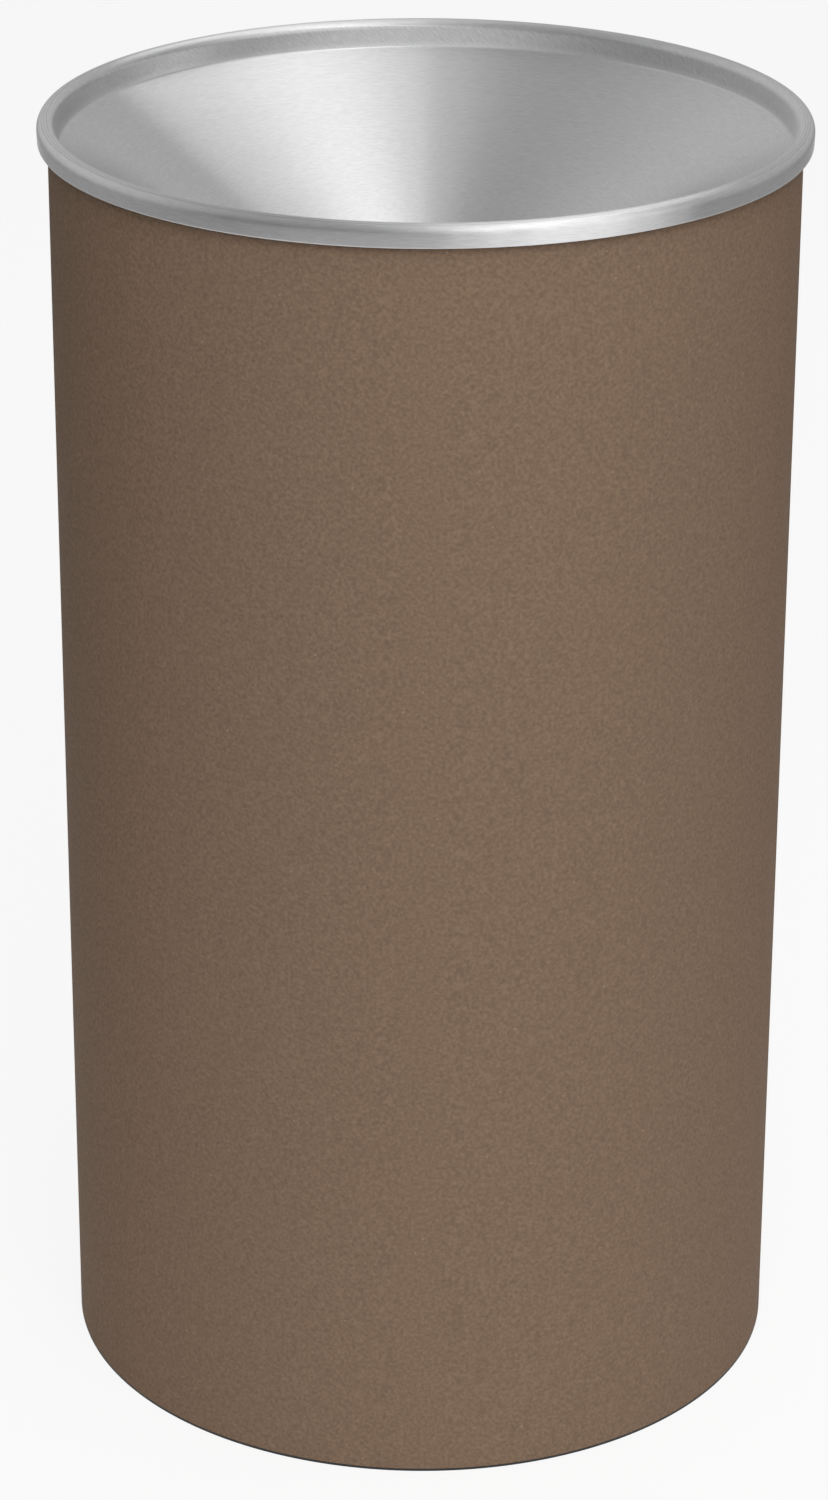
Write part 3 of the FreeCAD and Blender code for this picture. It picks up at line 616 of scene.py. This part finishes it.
def spun_aluminium(name, scene):
    """Satin aluminium brushed round the axis, with painted shade in three fine grooves on the rim, a painted
    highlight where the wall inside the rim meets the cone, and hand-rubbed hairlines on that wall, which is
    darker overall.
    """
    material, tree, shader = new_material(name)
    metal, sizes = scene.bin_finishes.aluminium, scene.bin_funnel
    x, y, z = object_place(tree)[1:]
    radius, away_x, away_y = around_axis(tree, x, y)
    lines = brushed_lines(tree, radius, away_x, away_y, z, length_share=30.0, fineness=2800.0, detail=2.0)
    bands = brushed_lines(tree, radius, away_x, away_y, z, length_share=1.0, fineness=120.0, detail=1.0)
    inner = sizes.outside - sizes.outer_round - sizes.inner_round
    corner = inner - sizes.wall_lean
    above_corner = spread(tree, radius, corner - 0.0006, corner, 0, 1)
    below_rim = spread(tree, radius, inner + 0.0003, inner + 0.0012, 1, 0)
    wall = times(tree, above_corner, below_rim)
    slant = math.radians(45)
    hairs = hair_scratches(tree, x, y, z, inner, slant, drawn_out=140.0, fineness=2800.0)
    brushed = tint(tree, spread(tree, lines, 0.3, 0.7, 0, 1), scaled(metal, 0.87), scaled(metal, 1.11))
    # The wall inside the rim: hairline scratches, with its tone darker overall than the brushed metal
    darker_wall_hairlines = tint(tree, spread(tree, hairs, 0.35, 0.65, 0, 1), scaled(metal, 0.75), scaled(metal, 1.04))
    # Painted highlight: a lighter ring of the metal where the wall inside the rim meets the cone
    corner_highlight = near_ring(tree, radius, corner, near=0.0001, far=0.0005, most=0.45)
    tone = tint(tree, corner_highlight, tint(tree, wall, brushed, darker_wall_hairlines), scaled(metal, 1.2))
    patchy = spread(tree, bands, 0.3, 0.7, 0.5, 1)
    # Painted shade: a darker ring at each of the rim's three fine grooves, uneven along its length
    for depth in sizes.grooves:
        groove_shade = near_ring(tree, radius, sizes.outside - depth, near=0.0001, far=0.0004, most=0.9)
        tone = tint(tree, times(tree, groove_shade, patchy), tone, scaled(metal, 0.66))
    fine_rough = spread(tree, lines, 0.2, 0.8, 0.292, 0.325)
    band_rough = spread(tree, bands, 0.2, 0.8, -0.012, 0.012)
    feed(
        tree, shader,
        Base_Color=tone,
        Roughness=plus(tree, fine_rough, band_rough),
        Normal=bump(tree, lines, strength=0.06, distance=0.0002),
        Tangent=slanted_brushing(tree, away_x, away_y, times(tree, wall, slant)),
        Metallic=1.0,
        Anisotropic=1.0,
        Anisotropic_Rotation=0.25,
    )
    return material


def galvanised_sheet(name, scene):
    """Dull galvanised steel with a soft spangle and faint upright streaks."""
    material, tree, shader = new_material(name)
    zinc = scene.bin_finishes.zinc
    place, x, y, z = object_place(tree)
    warp = add_node(tree, "ShaderNodeTexNoise", {"Vector": place, "Scale": 40.0}).outputs["Color"]
    bent = add_node(tree, "ShaderNodeMix", {0: 0.012, 4: place, 5: warp}, data_type="VECTOR").outputs[1]
    spangle = cells(tree, bent, 70.0, "Color")
    grey = add_node(tree, "ShaderNodeSeparateColor", {"Color": spangle}).outputs["Red"]
    streaks = noise(tree, vector_of(tree, times(tree, x, 60.0), times(tree, y, 60.0), z), scale=3.0)
    mixed = plus(tree, times(tree, grey, 0.7), times(tree, streaks, 0.3))
    feed(
        tree, shader,
        Base_Color=tint(tree, mixed, scaled(zinc, 0.87), scaled(zinc, 1.13)),
        Roughness=spread(tree, grey, 0.0, 1.0, 0.4, 0.5),
        Normal=bump(tree, grey, strength=0.05, distance=0.0003),
        Metallic=1.0,
    )
    return material


def plated_steel(name, scene, grain, roughness):
    """Zinc plated steel, slightly uneven, with a fine grain."""
    material, tree, shader = new_material(name)
    plating = scene.bin_finishes.plating
    place = object_place(tree)[0]
    cloud = noise(tree, place, scale=55, detail=3.0)
    marks = noise(tree, place, scale=grain, roughness=0.6)
    feed(
        tree, shader,
        Base_Color=tint(tree, cloud, scaled(plating, 0.85), scaled(plating, 1.12)),
        Roughness=spread(tree, marks, 0.2, 0.8, roughness - 0.06, roughness + 0.08),
        Normal=bump(tree, marks, strength=0.1, distance=0.0002),
        Metallic=1.0,
    )
    return material


def plated_wire(name, scene):
    """Plating of the handles and the rim wire."""
    return plated_steel(name, scene, grain=500, roughness=0.3)


def plated_ears(name, scene):
    """Plating of the ears and rivets, duller and coarser than the wire's."""
    return plated_steel(name, scene, grain=350, roughness=0.38)


def black_vinyl(name, scene):
    """Matt extruded vinyl with faint dust."""
    material, tree, shader = new_material(name)
    black = scene.bin_finishes.vinyl
    place = object_place(tree)[0]
    dust = noise(tree, place, scale=90, detail=3.0, roughness=0.6)
    dusty = spread(tree, dust, 0.5, 0.8, 0, 0.25)
    grain = noise(tree, place, scale=1200, detail=1.0)
    feed(
        tree, shader,
        Base_Color=tint(tree, dusty, black, scaled(black, 4.0)),
        Roughness=spread(tree, dust, 0.3, 0.8, 0.45, 0.65),
        Normal=bump(tree, grain, strength=0.1, distance=0.0001),
    )
    return material


# Name and maker of the finish in each slot
FINISHES = {
    "body_paint": ("textured_brown_paint", textured_paint),
    "spun_aluminium": ("brushed_aluminium", spun_aluminium),
    "galvanised_sheet": ("spangled_zinc", galvanised_sheet),
    "plated_wire": ("wire_plating", plated_wire),
    "plated_ears": ("ear_plating", plated_ears),
    "black_vinyl": ("matt_vinyl", black_vinyl),
}


def finish_piece(piece, body, slot, node_name):
    """Shade a finished piece, give it its slot's finish and let it ride in place of its packed node."""
    name, make = FINISHES[slot]
    pick(piece)
    bpy.ops.object.shade_smooth_by_angle(angle=SMOOTH_ANGLE)
    piece.data.materials.clear()
    piece.data.materials.append(bpy.data.materials.get(name) or make(name, bpy.context.scene))
    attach(piece, body)
    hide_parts(node_name)


# Receptacle body

class BIN_OT_body_shell(Operator):
    """Model the rolled cylinder with its lapped back seam"""

    bl_idname = "bin.body_shell"
    bl_label = "Body shell"

    def execute(self, context):
        sizes = context.scene.bin_body
        inner = sizes.radius - sizes.wall
        bottom, top = sizes.bottom, sizes.top
        outline = [(inner, bottom), (sizes.radius, bottom), (sizes.radius, top), (inner, top)]
        shell = spin_outline("brown_cylinder", outline + outline[:1], sizes.turns)
        half_lap = sizes.lap_width / 2
        sunk = sizes.wall / 3
        lap = add_box(
            "seam_lap",
            (-half_lap, inner - sizes.wall, high("base_plate")),
            (half_lap, inner + sunk, low("mouth_trim")),
        )
        combine_meshes(shell, lap, "UNION")
        line = add_box(
            "seam_line",
            (half_lap - sizes.seam_width, sizes.radius - sizes.seam_depth, 0),
            (half_lap, sizes.radius + sizes.seam_depth, high("funnel_top")),
        )
        combine_meshes(shell, line, "DIFFERENCE")
        finish_piece(shell, "body", "body_paint", "body_shell")
        return {"FINISHED"}


class BIN_OT_base_plate(Operator):
    """Model the pressed base plate inside the cylinder's foot"""

    bl_idname = "bin.base_plate"
    bl_label = "Base plate"

    def execute(self, context):
        sizes = context.scene.bin_body
        top, bottom, edge = high("base_plate"), low("base_plate"), reach("base_plate")
        centre = (0, top - sizes.dish_depth)
        dish_floor = (sizes.dish_radius - sizes.dish_depth, top - sizes.dish_depth)
        dish_edge = (sizes.dish_radius, top)
        face = [
            centre,
            *fillet(centre, dish_floor, dish_edge, sizes.dish_round),
            *fillet(dish_floor, dish_edge, (edge, top), sizes.dish_round),
            *fillet(dish_edge, (edge, top), (edge, bottom), sizes.base_bend),
            (edge, bottom),
        ]
        plate = spin_outline("pressed_base", sheet_section(face, sizes.base_sheet), sizes.turns)
        finish_piece(plate, "body", "body_paint", "base_plate")
        return {"FINISHED"}


class BIN_OT_vinyl_rings(Operator):
    """Model the vinyl foot ring and the vinyl trim on the cylinder's mouth"""

    bl_idname = "bin.vinyl_rings"
    bl_label = "Vinyl rings"

    def execute(self, context):
        sizes = context.scene.bin_body
        inner = sizes.radius - sizes.foot_width
        leg_outer = sizes.radius - sizes.wall - sizes.fit
        leg_inner = leg_outer - sizes.foot_leg
        leg_top = high("foot_ring")
        foot_outline = rounded([
            (inner, 0), (sizes.radius, 0), (sizes.radius, sizes.bottom), (leg_outer, sizes.bottom),
            (leg_outer, leg_top), (leg_inner, leg_top), (leg_inner, sizes.bottom), (inner, sizes.bottom),
        ], sizes.foot_round)
        foot = spin_outline("vinyl_foot", foot_outline, sizes.turns)
        finish_piece(foot, "body", "black_vinyl", "foot_ring")
        middle = sizes.radius - sizes.wall / 2
        gap = sizes.wall / 2 + sizes.fit
        half = gap + sizes.trim_wall
        bottom, top = low("mouth_trim"), sizes.top
        trim_outline = [
            (middle - half, bottom), (middle - gap, bottom), (middle - gap, top), (middle + gap, top),
            (middle + gap, bottom), (middle + half, bottom), *arc((middle, top), half, 0, 180, steps=12),
            (middle - half, bottom),
        ]
        trim = spin_outline("vinyl_trim", trim_outline, sizes.turns)
        finish_piece(trim, "body", "black_vinyl", "mouth_trim")
        return {"FINISHED"}


# Funnel top

def funnel_face(sizes):
    """Seen face of the funnel top, from the throat's lip over the rim to the skirt's lower edge."""
    crest = sizes.outside - sizes.outer_round
    inner = crest - sizes.inner_round
    lip = (sizes.throat_radius, sizes.lip_bottom)
    rim_start = (inner, sizes.top - sizes.inner_round)
    corner = (inner - sizes.wall_lean, sizes.top - sizes.wall_depth)
    cone_drop = (corner[0] - sizes.throat_radius) * math.tan(sizes.cone_angle)
    throat = (sizes.throat_radius, corner[1] - cone_drop)
    skirt_drop = sizes.skirt_depth - sizes.outer_round
    skirt_round = (skirt_drop ** 2 + sizes.skirt_inset ** 2) / (2 * sizes.skirt_inset)
    skirt_centre = (sizes.outside - skirt_round, sizes.top - sizes.outer_round)
    skirt_angle = math.degrees(math.asin(skirt_drop / skirt_round))
    return [
        lip,
        *fillet(lip, throat, corner, sizes.throat_round),
        *fillet(throat, corner, rim_start, sizes.corner_round),
        *arc((crest, sizes.top - sizes.inner_round), sizes.inner_round, 180, 90),
        *arc((crest, sizes.top - sizes.outer_round), sizes.outer_round, 90, 0, steps=12)[1:],
        *arc(skirt_centre, skirt_round, 0, -skirt_angle)[1:],
    ]


class BIN_OT_funnel_top(Operator):
    """Model the spun aluminium funnel top with its rolled rim"""

    bl_idname = "bin.funnel_top"
    bl_label = "Funnel top"

    def execute(self, context):
        sizes = context.scene.bin_funnel
        section = sheet_section(funnel_face(sizes), sizes.sheet)
        funnel = spin_outline("spun_funnel", section, context.scene.bin_body.turns)
        finish_piece(funnel, "lid", "spun_aluminium", "funnel_top")
        return {"FINISHED"}


# Liner

def liner_inner(sizes):
    """Inside radius of the liner's wall."""
    return sizes.curl_outside - 2 * sizes.curl_round


def curl_middle(sizes):
    """Middle of the curled rim's round."""
    return sizes.curl_outside - sizes.curl_round, sizes.top - sizes.curl_round


def fold_level(sizes):
    """Upper face of the wall's lower edge, which is folded in under the floor."""
    return sizes.bottom + sizes.sheet


def swage_points(wall, level, sizes):
    """Points of one swage, up the face of the liner's wall."""
    half = sizes.swage_width / 2
    radius = (half ** 2 + sizes.swage_rise ** 2) / (2 * sizes.swage_rise)
    swing = math.degrees(math.asin(half / radius))
    return arc((wall + sizes.swage_rise - radius, level), radius, -swing, swing)


def press_lock_seam(wall, sizes):
    """Press the lock seam out of the wall's back, between the floor and the curl."""
    half = sizes.seam_width / 2
    root = liner_inner(sizes) + sizes.sheet / 2
    bottom, top = sizes.floor_top, sizes.top - sizes.curl_round - 2 * sizes.curl_leg
    cuts = [((half, 0, 0), (1, 0, 0)), ((-half, 0, 0), (1, 0, 0))]
    cuts += [((0, 0, level), (0, 0, 1)) for level in (bottom, top)]

    def about_seam(centre, way):
        return centre.y > root / 2 and abs(centre.x) < 3 * half

    def on_seam(centre, way):
        outside = centre.y > root and way.y > 0.5
        return outside and abs(centre.x) < half and bottom < centre.z < top

    edit(wall)
    for place, normal in cuts:
        select_faces(wall, about_seam)
        bpy.ops.mesh.bisect(plane_co=place, plane_no=normal)
    select_faces(wall, on_seam)
    bpy.ops.mesh.extrude_region_move(TRANSFORM_OT_translate={"value": (0, sizes.seam_rise, 0)})
    close_mesh(wall)


class BIN_OT_liner_wall(Operator):
    """Model the liner's rolled wall with its swages, lock seam and curled rim"""

    bl_idname = "bin.liner_wall"
    bl_label = "Liner wall"

    def execute(self, context):
        sizes = context.scene.bin_liner
        inner = liner_inner(sizes)
        curl = curl_middle(sizes)
        fold_corner = (inner, fold_level(sizes))
        fold_end = (inner - sizes.fold, fold_level(sizes))
        pitch = (sizes.top - sizes.bottom) / (sizes.swages + 1)
        levels = [sizes.bottom + pitch * (swage + 1) for swage in range(sizes.swages)]
        face = [
            fold_end,
            *fillet(fold_end, fold_corner, (inner, sizes.top), sizes.sheet),
            *[point for level in levels for point in swage_points(inner, level, sizes)],
            *arc(curl, sizes.curl_round, 180, 0, steps=16),
            (sizes.curl_outside, curl[1] - sizes.curl_leg),
        ]
        wall = spin_outline("liner_sheet", sheet_section(face, sizes.sheet), context.scene.bin_body.turns)
        press_lock_seam(wall, sizes)
        finish_piece(wall, "liner", "galvanised_sheet", "liner_wall")
        return {"FINISHED"}


class BIN_OT_liner_floor(Operator):
    """Model the liner's floor with its edge turned down"""

    bl_idname = "bin.liner_floor"
    bl_label = "Liner floor"

    def execute(self, context):
        sizes = context.scene.bin_liner
        centre = (0, sizes.floor_top)
        corner = (sizes.floor_radius, sizes.floor_top)
        edge = (sizes.floor_radius, fold_level(sizes))
        face = [centre, *fillet(centre, corner, edge, sizes.floor_bend), edge]
        floor = spin_outline("liner_disc", sheet_section(face, sizes.sheet), context.scene.bin_body.turns)
        finish_piece(floor, "liner", "galvanised_sheet", "liner_floor")
        return {"FINISHED"}


class BIN_OT_rim_wire(Operator):
    """Model the wire inside the liner's curled rim"""

    bl_idname = "bin.rim_wire"
    bl_label = "Rim wire"

    def execute(self, context):
        sizes = context.scene.bin_liner
        outline = arc(curl_middle(sizes), sizes.wire_radius, 0, 360, steps=12)
        hoop = spin_outline("rim_hoop", outline, context.scene.bin_body.turns)
        finish_piece(hoop, "liner", "plated_wire", "rim_wire")
        return {"FINISHED"}


# Handles, ears and rivets

def pull(step):
    """Draw the selected ring of edges out straight."""
    bpy.ops.mesh.extrude_edges_move(TRANSFORM_OT_translate={"value": step})


class BIN_OT_handles(Operator):
    """Model the right wire handle and copy it to the left"""

    bl_idname = "bin.handles"
    bl_label = "Handles"

    def execute(self, context):
        sizes = context.scene.bin_handles
        pivot = joint_place("right_handle_swing")
        leg = -sizes.span / 2
        bend = Vector((pivot.x, leg - sizes.pivot_bend, pivot.z - sizes.pivot_bend))
        grip = Vector((pivot.x, leg + sizes.grip_bend, pivot.z - sizes.drop + sizes.grip_bend))
        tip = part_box("right_handle")[0].y
        start_clean()
        bpy.ops.mesh.primitive_circle_add(
            vertices=WIRE_TURNS, radius=sizes.wire, fill_type="NGON",
            location=(pivot.x, tip, pivot.z), rotation=(QUARTER_TURN, 0, 0),
        )
        right = named("right_wire_handle")
        bpy.ops.object.mode_set(mode="EDIT")
        bpy.ops.mesh.select_mode(type="EDGE")
        bpy.ops.mesh.select_all(action="SELECT")
        pull((0, bend.y - tip, 0))
        bpy.ops.mesh.spin(steps=10, angle=QUARTER_TURN, center=bend, axis=(1, 0, 0))
        pull((0, 0, grip.z - bend.z))
        bpy.ops.mesh.spin(steps=14, angle=-QUARTER_TURN, center=grip, axis=(1, 0, 0))
        pull((0, -grip.y, 0))
        close_mesh(right)
        edit(right)
        select_faces(right, lambda centre, way: abs(centre.y - tip) < MERGE_DISTANCE)
        bpy.ops.mesh.select_mode(type="EDGE")
        bpy.ops.mesh.bevel(offset=sizes.tip_round, segments=3, affect="EDGES")
        apply_modifier(right, "MIRROR", use_axis=(False, True, False), merge_threshold=MERGE_DISTANCE)
        edit(right)
        close_mesh(right)
        left = copy_of(right, "left_wire_handle")
        bpy.ops.transform.translate(value=(joint_place("left_handle_swing").x - pivot.x, 0, 0))
        settle()
        finish_piece(right, "right_handle", "plated_wire", "right_handle")
        finish_piece(left, "left_handle", "plated_wire", "left_handle")
        return {"FINISHED"}


class BIN_OT_ears(Operator):
    """Round the edges of the four ears that hold the handles"""

    bl_idname = "bin.ears"
    bl_label = "Ears"

    def execute(self, context):
        sizes = context.scene.bin_handles
        for node_name in EAR_NODES:
            ear = bpy.data.objects.new(node_name + "_rounded", frame["nodes"][node_name].data.copy())
            context.scene.collection.objects.link(ear)
            edit(ear)
            close_mesh(ear)
            edit(ear)
            bpy.ops.mesh.select_all(action="SELECT")
            bpy.ops.mesh.dissolve_limited(angle_limit=FLAT_ANGLE)
            apply_modifier(
                ear, "BEVEL", width=sizes.ear_round, segments=2, limit_method="ANGLE", angle_limit=EDGE_ANGLE
            )
            finish_piece(ear, "liner", "plated_ears", node_name)
        return {"FINISHED"}


class BIN_OT_rivets(Operator):
    """Model one rivet and set two of its kind through each ear"""

    bl_idname = "bin.rivets"
    bl_label = "Rivets"

    def execute(self, context):
        sizes = context.scene.bin_handles
        wall = liner_inner(context.scene.bin_liner)
        inner, outer = wall - sizes.inner_seat, wall + sizes.outer_seat
        dome = (sizes.rivet_head ** 2 + sizes.rivet_rise ** 2) / (2 * sizes.rivet_rise)
        edge_angle = math.degrees(math.acos(sizes.rivet_head / dome))
        outline = [
            *arc((0, inner - sizes.rivet_rise + dome), dome, -90, -edge_angle),
            (sizes.rivet_shank, inner),
            (sizes.rivet_shank, outer),
            *arc((0, outer + sizes.rivet_rise - dome), dome, edge_angle, 90),
        ]
        pattern = spin_outline("rivet", outline, WIRE_TURNS)
        level = joint_place("right_handle_swing").z
        rivets = []
        for node_name in EAR_NODES:
            corner, far_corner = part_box(node_name)
            along = (corner.y + far_corner.y) / 2
            across = math.copysign(math.sqrt(wall ** 2 - along ** 2), corner.x)
            turn = Vector((across, along, 0)).to_track_quat("Z", "Y").to_matrix().to_4x4()
            for step in (sizes.rivet_offset, -sizes.rivet_offset):
                rivet = copy_of(pattern, "rivet_copy")
                rivet.matrix_world = Matrix.Translation((0, 0, level + step)) @ turn
                settle()
                rivets.append(rivet)
        bpy.data.objects.remove(pattern)
        start_clean()
        for rivet in rivets:
            rivet.select_set(True)
        context.view_layer.objects.active = rivets[0]
        bpy.ops.object.join()
        group = named("domed_rivets")
        finish_piece(group, "liner", "plated_ears", "ear_rivets")
        return {"FINISHED"}


# Studio

def seen_white(tree, paper):
    """One where the camera looks, and where a reflection or a clear piece shows the paper."""
    path = add_node(tree, "ShaderNodeLightPath", {}).outputs
    mirrored = calculate(tree, "MAXIMUM", path["Is Glossy Ray"], path["Is Transmission Ray"])
    return calculate(tree, "MAXIMUM", path["Is Camera Ray"], times(tree, mirrored, paper))


def add_floor(scene, studio):
    """Pale floor that keeps the object's shadow, whitest on the paper under and behind the object, with a
    painted pool of light where the paper fades into grey and painted shade on the bare floor in front.
    """
    start_clean()
    bpy.ops.mesh.primitive_plane_add(size=studio.floor_size, location=(0, 0, 0))
    floor = named("studio_floor")
    material, tree, shader = new_material("studio_floor")
    x, y = object_place(tree)[1:3]
    half, front, fade = studio.paper_half, studio.paper_front, studio.floor_fade
    colours = scene.bin_finishes
    # Painted pool of light: the white paper fades into the grey floor over a short way to the sides and a
    # long way towards the camera
    aside = spread(tree, calculate(tree, "ABSOLUTE", x), half, half + studio.paper_light_falloff, 1, 0)
    ahead = spread(tree, y, -front - studio.paper_light_falloff_front, -front, 0, 1)
    paper = times(tree, aside, ahead)
    # Painted shade in front and painted light behind: the bare floor is darker in front of the object than
    # behind it
    bare = tint(tree, spread(tree, y, -fade, fade, 0, 1), colours.shaded_floor_front, colours.lit_floor_back)
    tone = tint(tree, paper, bare, colours.paper)
    feed(tree, shader, Base_Color=tone, Roughness=1.0, Specular_IOR_Level=0.0)
    part = times(tree, seen_white(tree, paper), studio.paper_glow)
    white = add_node(tree, "ShaderNodeEmission", {"Color": (1, 1, 1, 1), "Strength": 1.0})
    mixed = add_node(
        tree, "ShaderNodeMixShader", {0: part, 1: shader.outputs["BSDF"], 2: white.outputs["Emission"]}
    )
    output = next(node for node in tree.nodes if node.type == "OUTPUT_MATERIAL")
    tree.links.new(mixed.outputs["Shader"], output.inputs["Surface"])
    floor.data.materials.append(material)


def add_surroundings(scene, studio):
    """Soft grey light from the room, brightest behind the object and darker in front and overhead.

    The greys change along the parts of a direction, which run from -1 to 1: to the right, back and up.
    """
    world = bpy.data.worlds.new("studio")
    world.use_nodes = True
    scene.world = world
    tree = world.node_tree
    tree.nodes.clear()
    way = add_node(tree, "ShaderNodeTexCoord", {}).outputs["Generated"]
    parts = add_node(tree, "ShaderNodeSeparateXYZ", {"Vector": way}).outputs
    right, behind, up = parts["X"], parts["Y"], parts["Z"]
    aslant = times(tree, plus(tree, right, behind), math.sqrt(0.5))
    front = spread(tree, aslant, -1.0, -0.7, studio.left_grey, studio.front_grey)
    back = spread(tree, right, -0.7, 0.7, studio.back_left, studio.back_right)
    walls = spread(tree, behind, -0.5, 0.3, front, back)
    grey = spread(tree, up, 0.5, 0.95, walls, studio.ceiling)
    eye = add_node(tree, "ShaderNodeLightPath", {}).outputs["Is Camera Ray"]
    seen = calculate(tree, "MAXIMUM", grey, times(tree, eye, studio.backdrop))
    light = add_node(tree, "ShaderNodeBackground", {"Color": (1, 1, 1, 1), "Strength": seen})
    output = add_node(tree, "ShaderNodeOutputWorld", {})
    tree.links.new(light.outputs["Background"], output.inputs["Surface"])


def add_lamp(name, place, aim, size, energy):
    """A rectangular lamp at a place, turned to an aim and hidden from the camera."""
    way = Vector(aim) - Vector(place)
    turn = way.to_track_quat("-Z", "Y").to_euler()
    bpy.ops.object.light_add(type="AREA", location=place, rotation=turn)
    lamp = bpy.context.active_object
    lamp.name = name
    lamp.data.shape = "RECTANGLE"
    lamp.data.size, lamp.data.size_y = size
    lamp.data.energy = energy
    lamp.visible_camera = False
    return lamp


def add_softbox(name, place, aim, size, layers, glow, skew=0.0):
    """A softbox that is brightest along one line: lamps of falling width, one over another."""
    lamps = []
    for layer in range(layers):
        width = size[0] * (1 - layer / layers)
        energy = glow * math.pi * width * size[1]
        aside = Vector((layer * skew, 0, 0))
        forward = place.lerp(aim, layer * LAYER_STEP)
        lamps.append(add_lamp(f"{name}_{layer}", forward + aside, aim + aside, (width, size[1]), energy))
    return lamps


def add_lights(studio):
    """Softbox overhead, a tall card at the right that only metal shows, and a fill lamp in front."""
    above = Vector((studio.top_side, -studio.top_front, studio.top_height))
    below = Vector((studio.top_side, -studio.top_front, 0))
    top_size = (studio.top_width, studio.top_depth)
    add_softbox("top_softbox", above, below, top_size, studio.top_layers, studio.top_glow, studio.top_skew)
    turn = studio.card_angle
    aim = Vector((0, 0, studio.card_height / 2))
    side = aim + Vector((math.sin(turn), -math.cos(turn), 0)) * studio.card_distance
    card_size = (studio.card_width, studio.card_height)
    for lamp in add_softbox("side_card", side, aim, card_size, studio.card_layers, studio.card_glow):
        lamp.visible_diffuse = False
    fill_size = (studio.fill_size, studio.fill_size)
    fill_lamp = add_lamp("front_fill", studio.fill_place, studio.fill_aim, fill_size, studio.fill_power)
    fill_lamp.visible_glossy = False


def add_camera(scene, studio):
    """Camera at the photograph's viewing angle."""
    bpy.ops.object.camera_add()
    camera = bpy.context.active_object
    camera.data.lens = studio.lens
    back = Vector((0, -math.cos(studio.pitch), math.sin(studio.pitch))) * studio.distance
    place = Vector((studio.aim_side, 0, studio.aim_height)) + back
    tilt = Matrix.Rotation(QUARTER_TURN - studio.pitch, 4, "X")
    roll = Matrix.Rotation(studio.roll, 4, "Z")
    camera.matrix_world = Matrix.Translation(place) @ tilt @ roll
    scene.camera = camera


class BIN_OT_studio(Operator):
    """Add the floor, the soft studio light and the camera"""

    bl_idname = "bin.studio"
    bl_label = "Studio"

    def execute(self, context):
        scene = context.scene
        studio = scene.bin_studio
        add_floor(scene, studio)
        add_surroundings(scene, studio)
        add_lights(studio)
        add_camera(scene, studio)
        scene.view_settings.view_transform = "Standard"
        return {"FINISHED"}


# Panel and registration

GROUPS = {
    "bin_body": BodySizes,
    "bin_funnel": FunnelSizes,
    "bin_liner": LinerSizes,
    "bin_handles": HandleSizes,
    "bin_finishes": FinishColours,
    "bin_studio": StudioSettings,
}
OPERATORS = (
    BIN_OT_body_shell,
    BIN_OT_base_plate,
    BIN_OT_vinyl_rings,
    BIN_OT_funnel_top,
    BIN_OT_liner_wall,
    BIN_OT_liner_floor,
    BIN_OT_rim_wire,
    BIN_OT_handles,
    BIN_OT_ears,
    BIN_OT_rivets,
    BIN_OT_studio,
)


class BIN_PT_receptacle(Panel):
    """Sizes and steps of the receptacle"""

    bl_label = "Trash receptacle"
    bl_idname = "BIN_PT_receptacle"
    bl_space_type = "VIEW_3D"
    bl_region_type = "UI"
    bl_category = "Receptacle"

    def draw(self, context):
        for operator in OPERATORS:
            self.layout.operator(operator.bl_idname)
        for group_name, group in GROUPS.items():
            box = self.layout.box()
            box.label(text=group.__doc__)
            for name in group.__annotations__:
                box.prop(getattr(context.scene, group_name), name)


CLASSES = (*GROUPS.values(), *OPERATORS, BIN_PT_receptacle)


def register():
    """Add the classes and hang the property groups on the scene."""
    for kind in CLASSES:
        bpy.utils.register_class(kind)
    for group_name, group in GROUPS.items():
        setattr(bpy.types.Scene, group_name, PointerProperty(type=group))


def unregister():
    """Take the property groups and the classes away again."""
    for group_name in GROUPS:
        delattr(bpy.types.Scene, group_name)
    for kind in reversed(CLASSES):
        bpy.utils.unregister_class(kind)


def main():
    """Build every piece and the studio."""
    register()
    for operator in OPERATORS:
        category, name = operator.bl_idname.split(".")
        getattr(getattr(bpy.ops, category), name)()


if __name__ == "__main__":
    main()
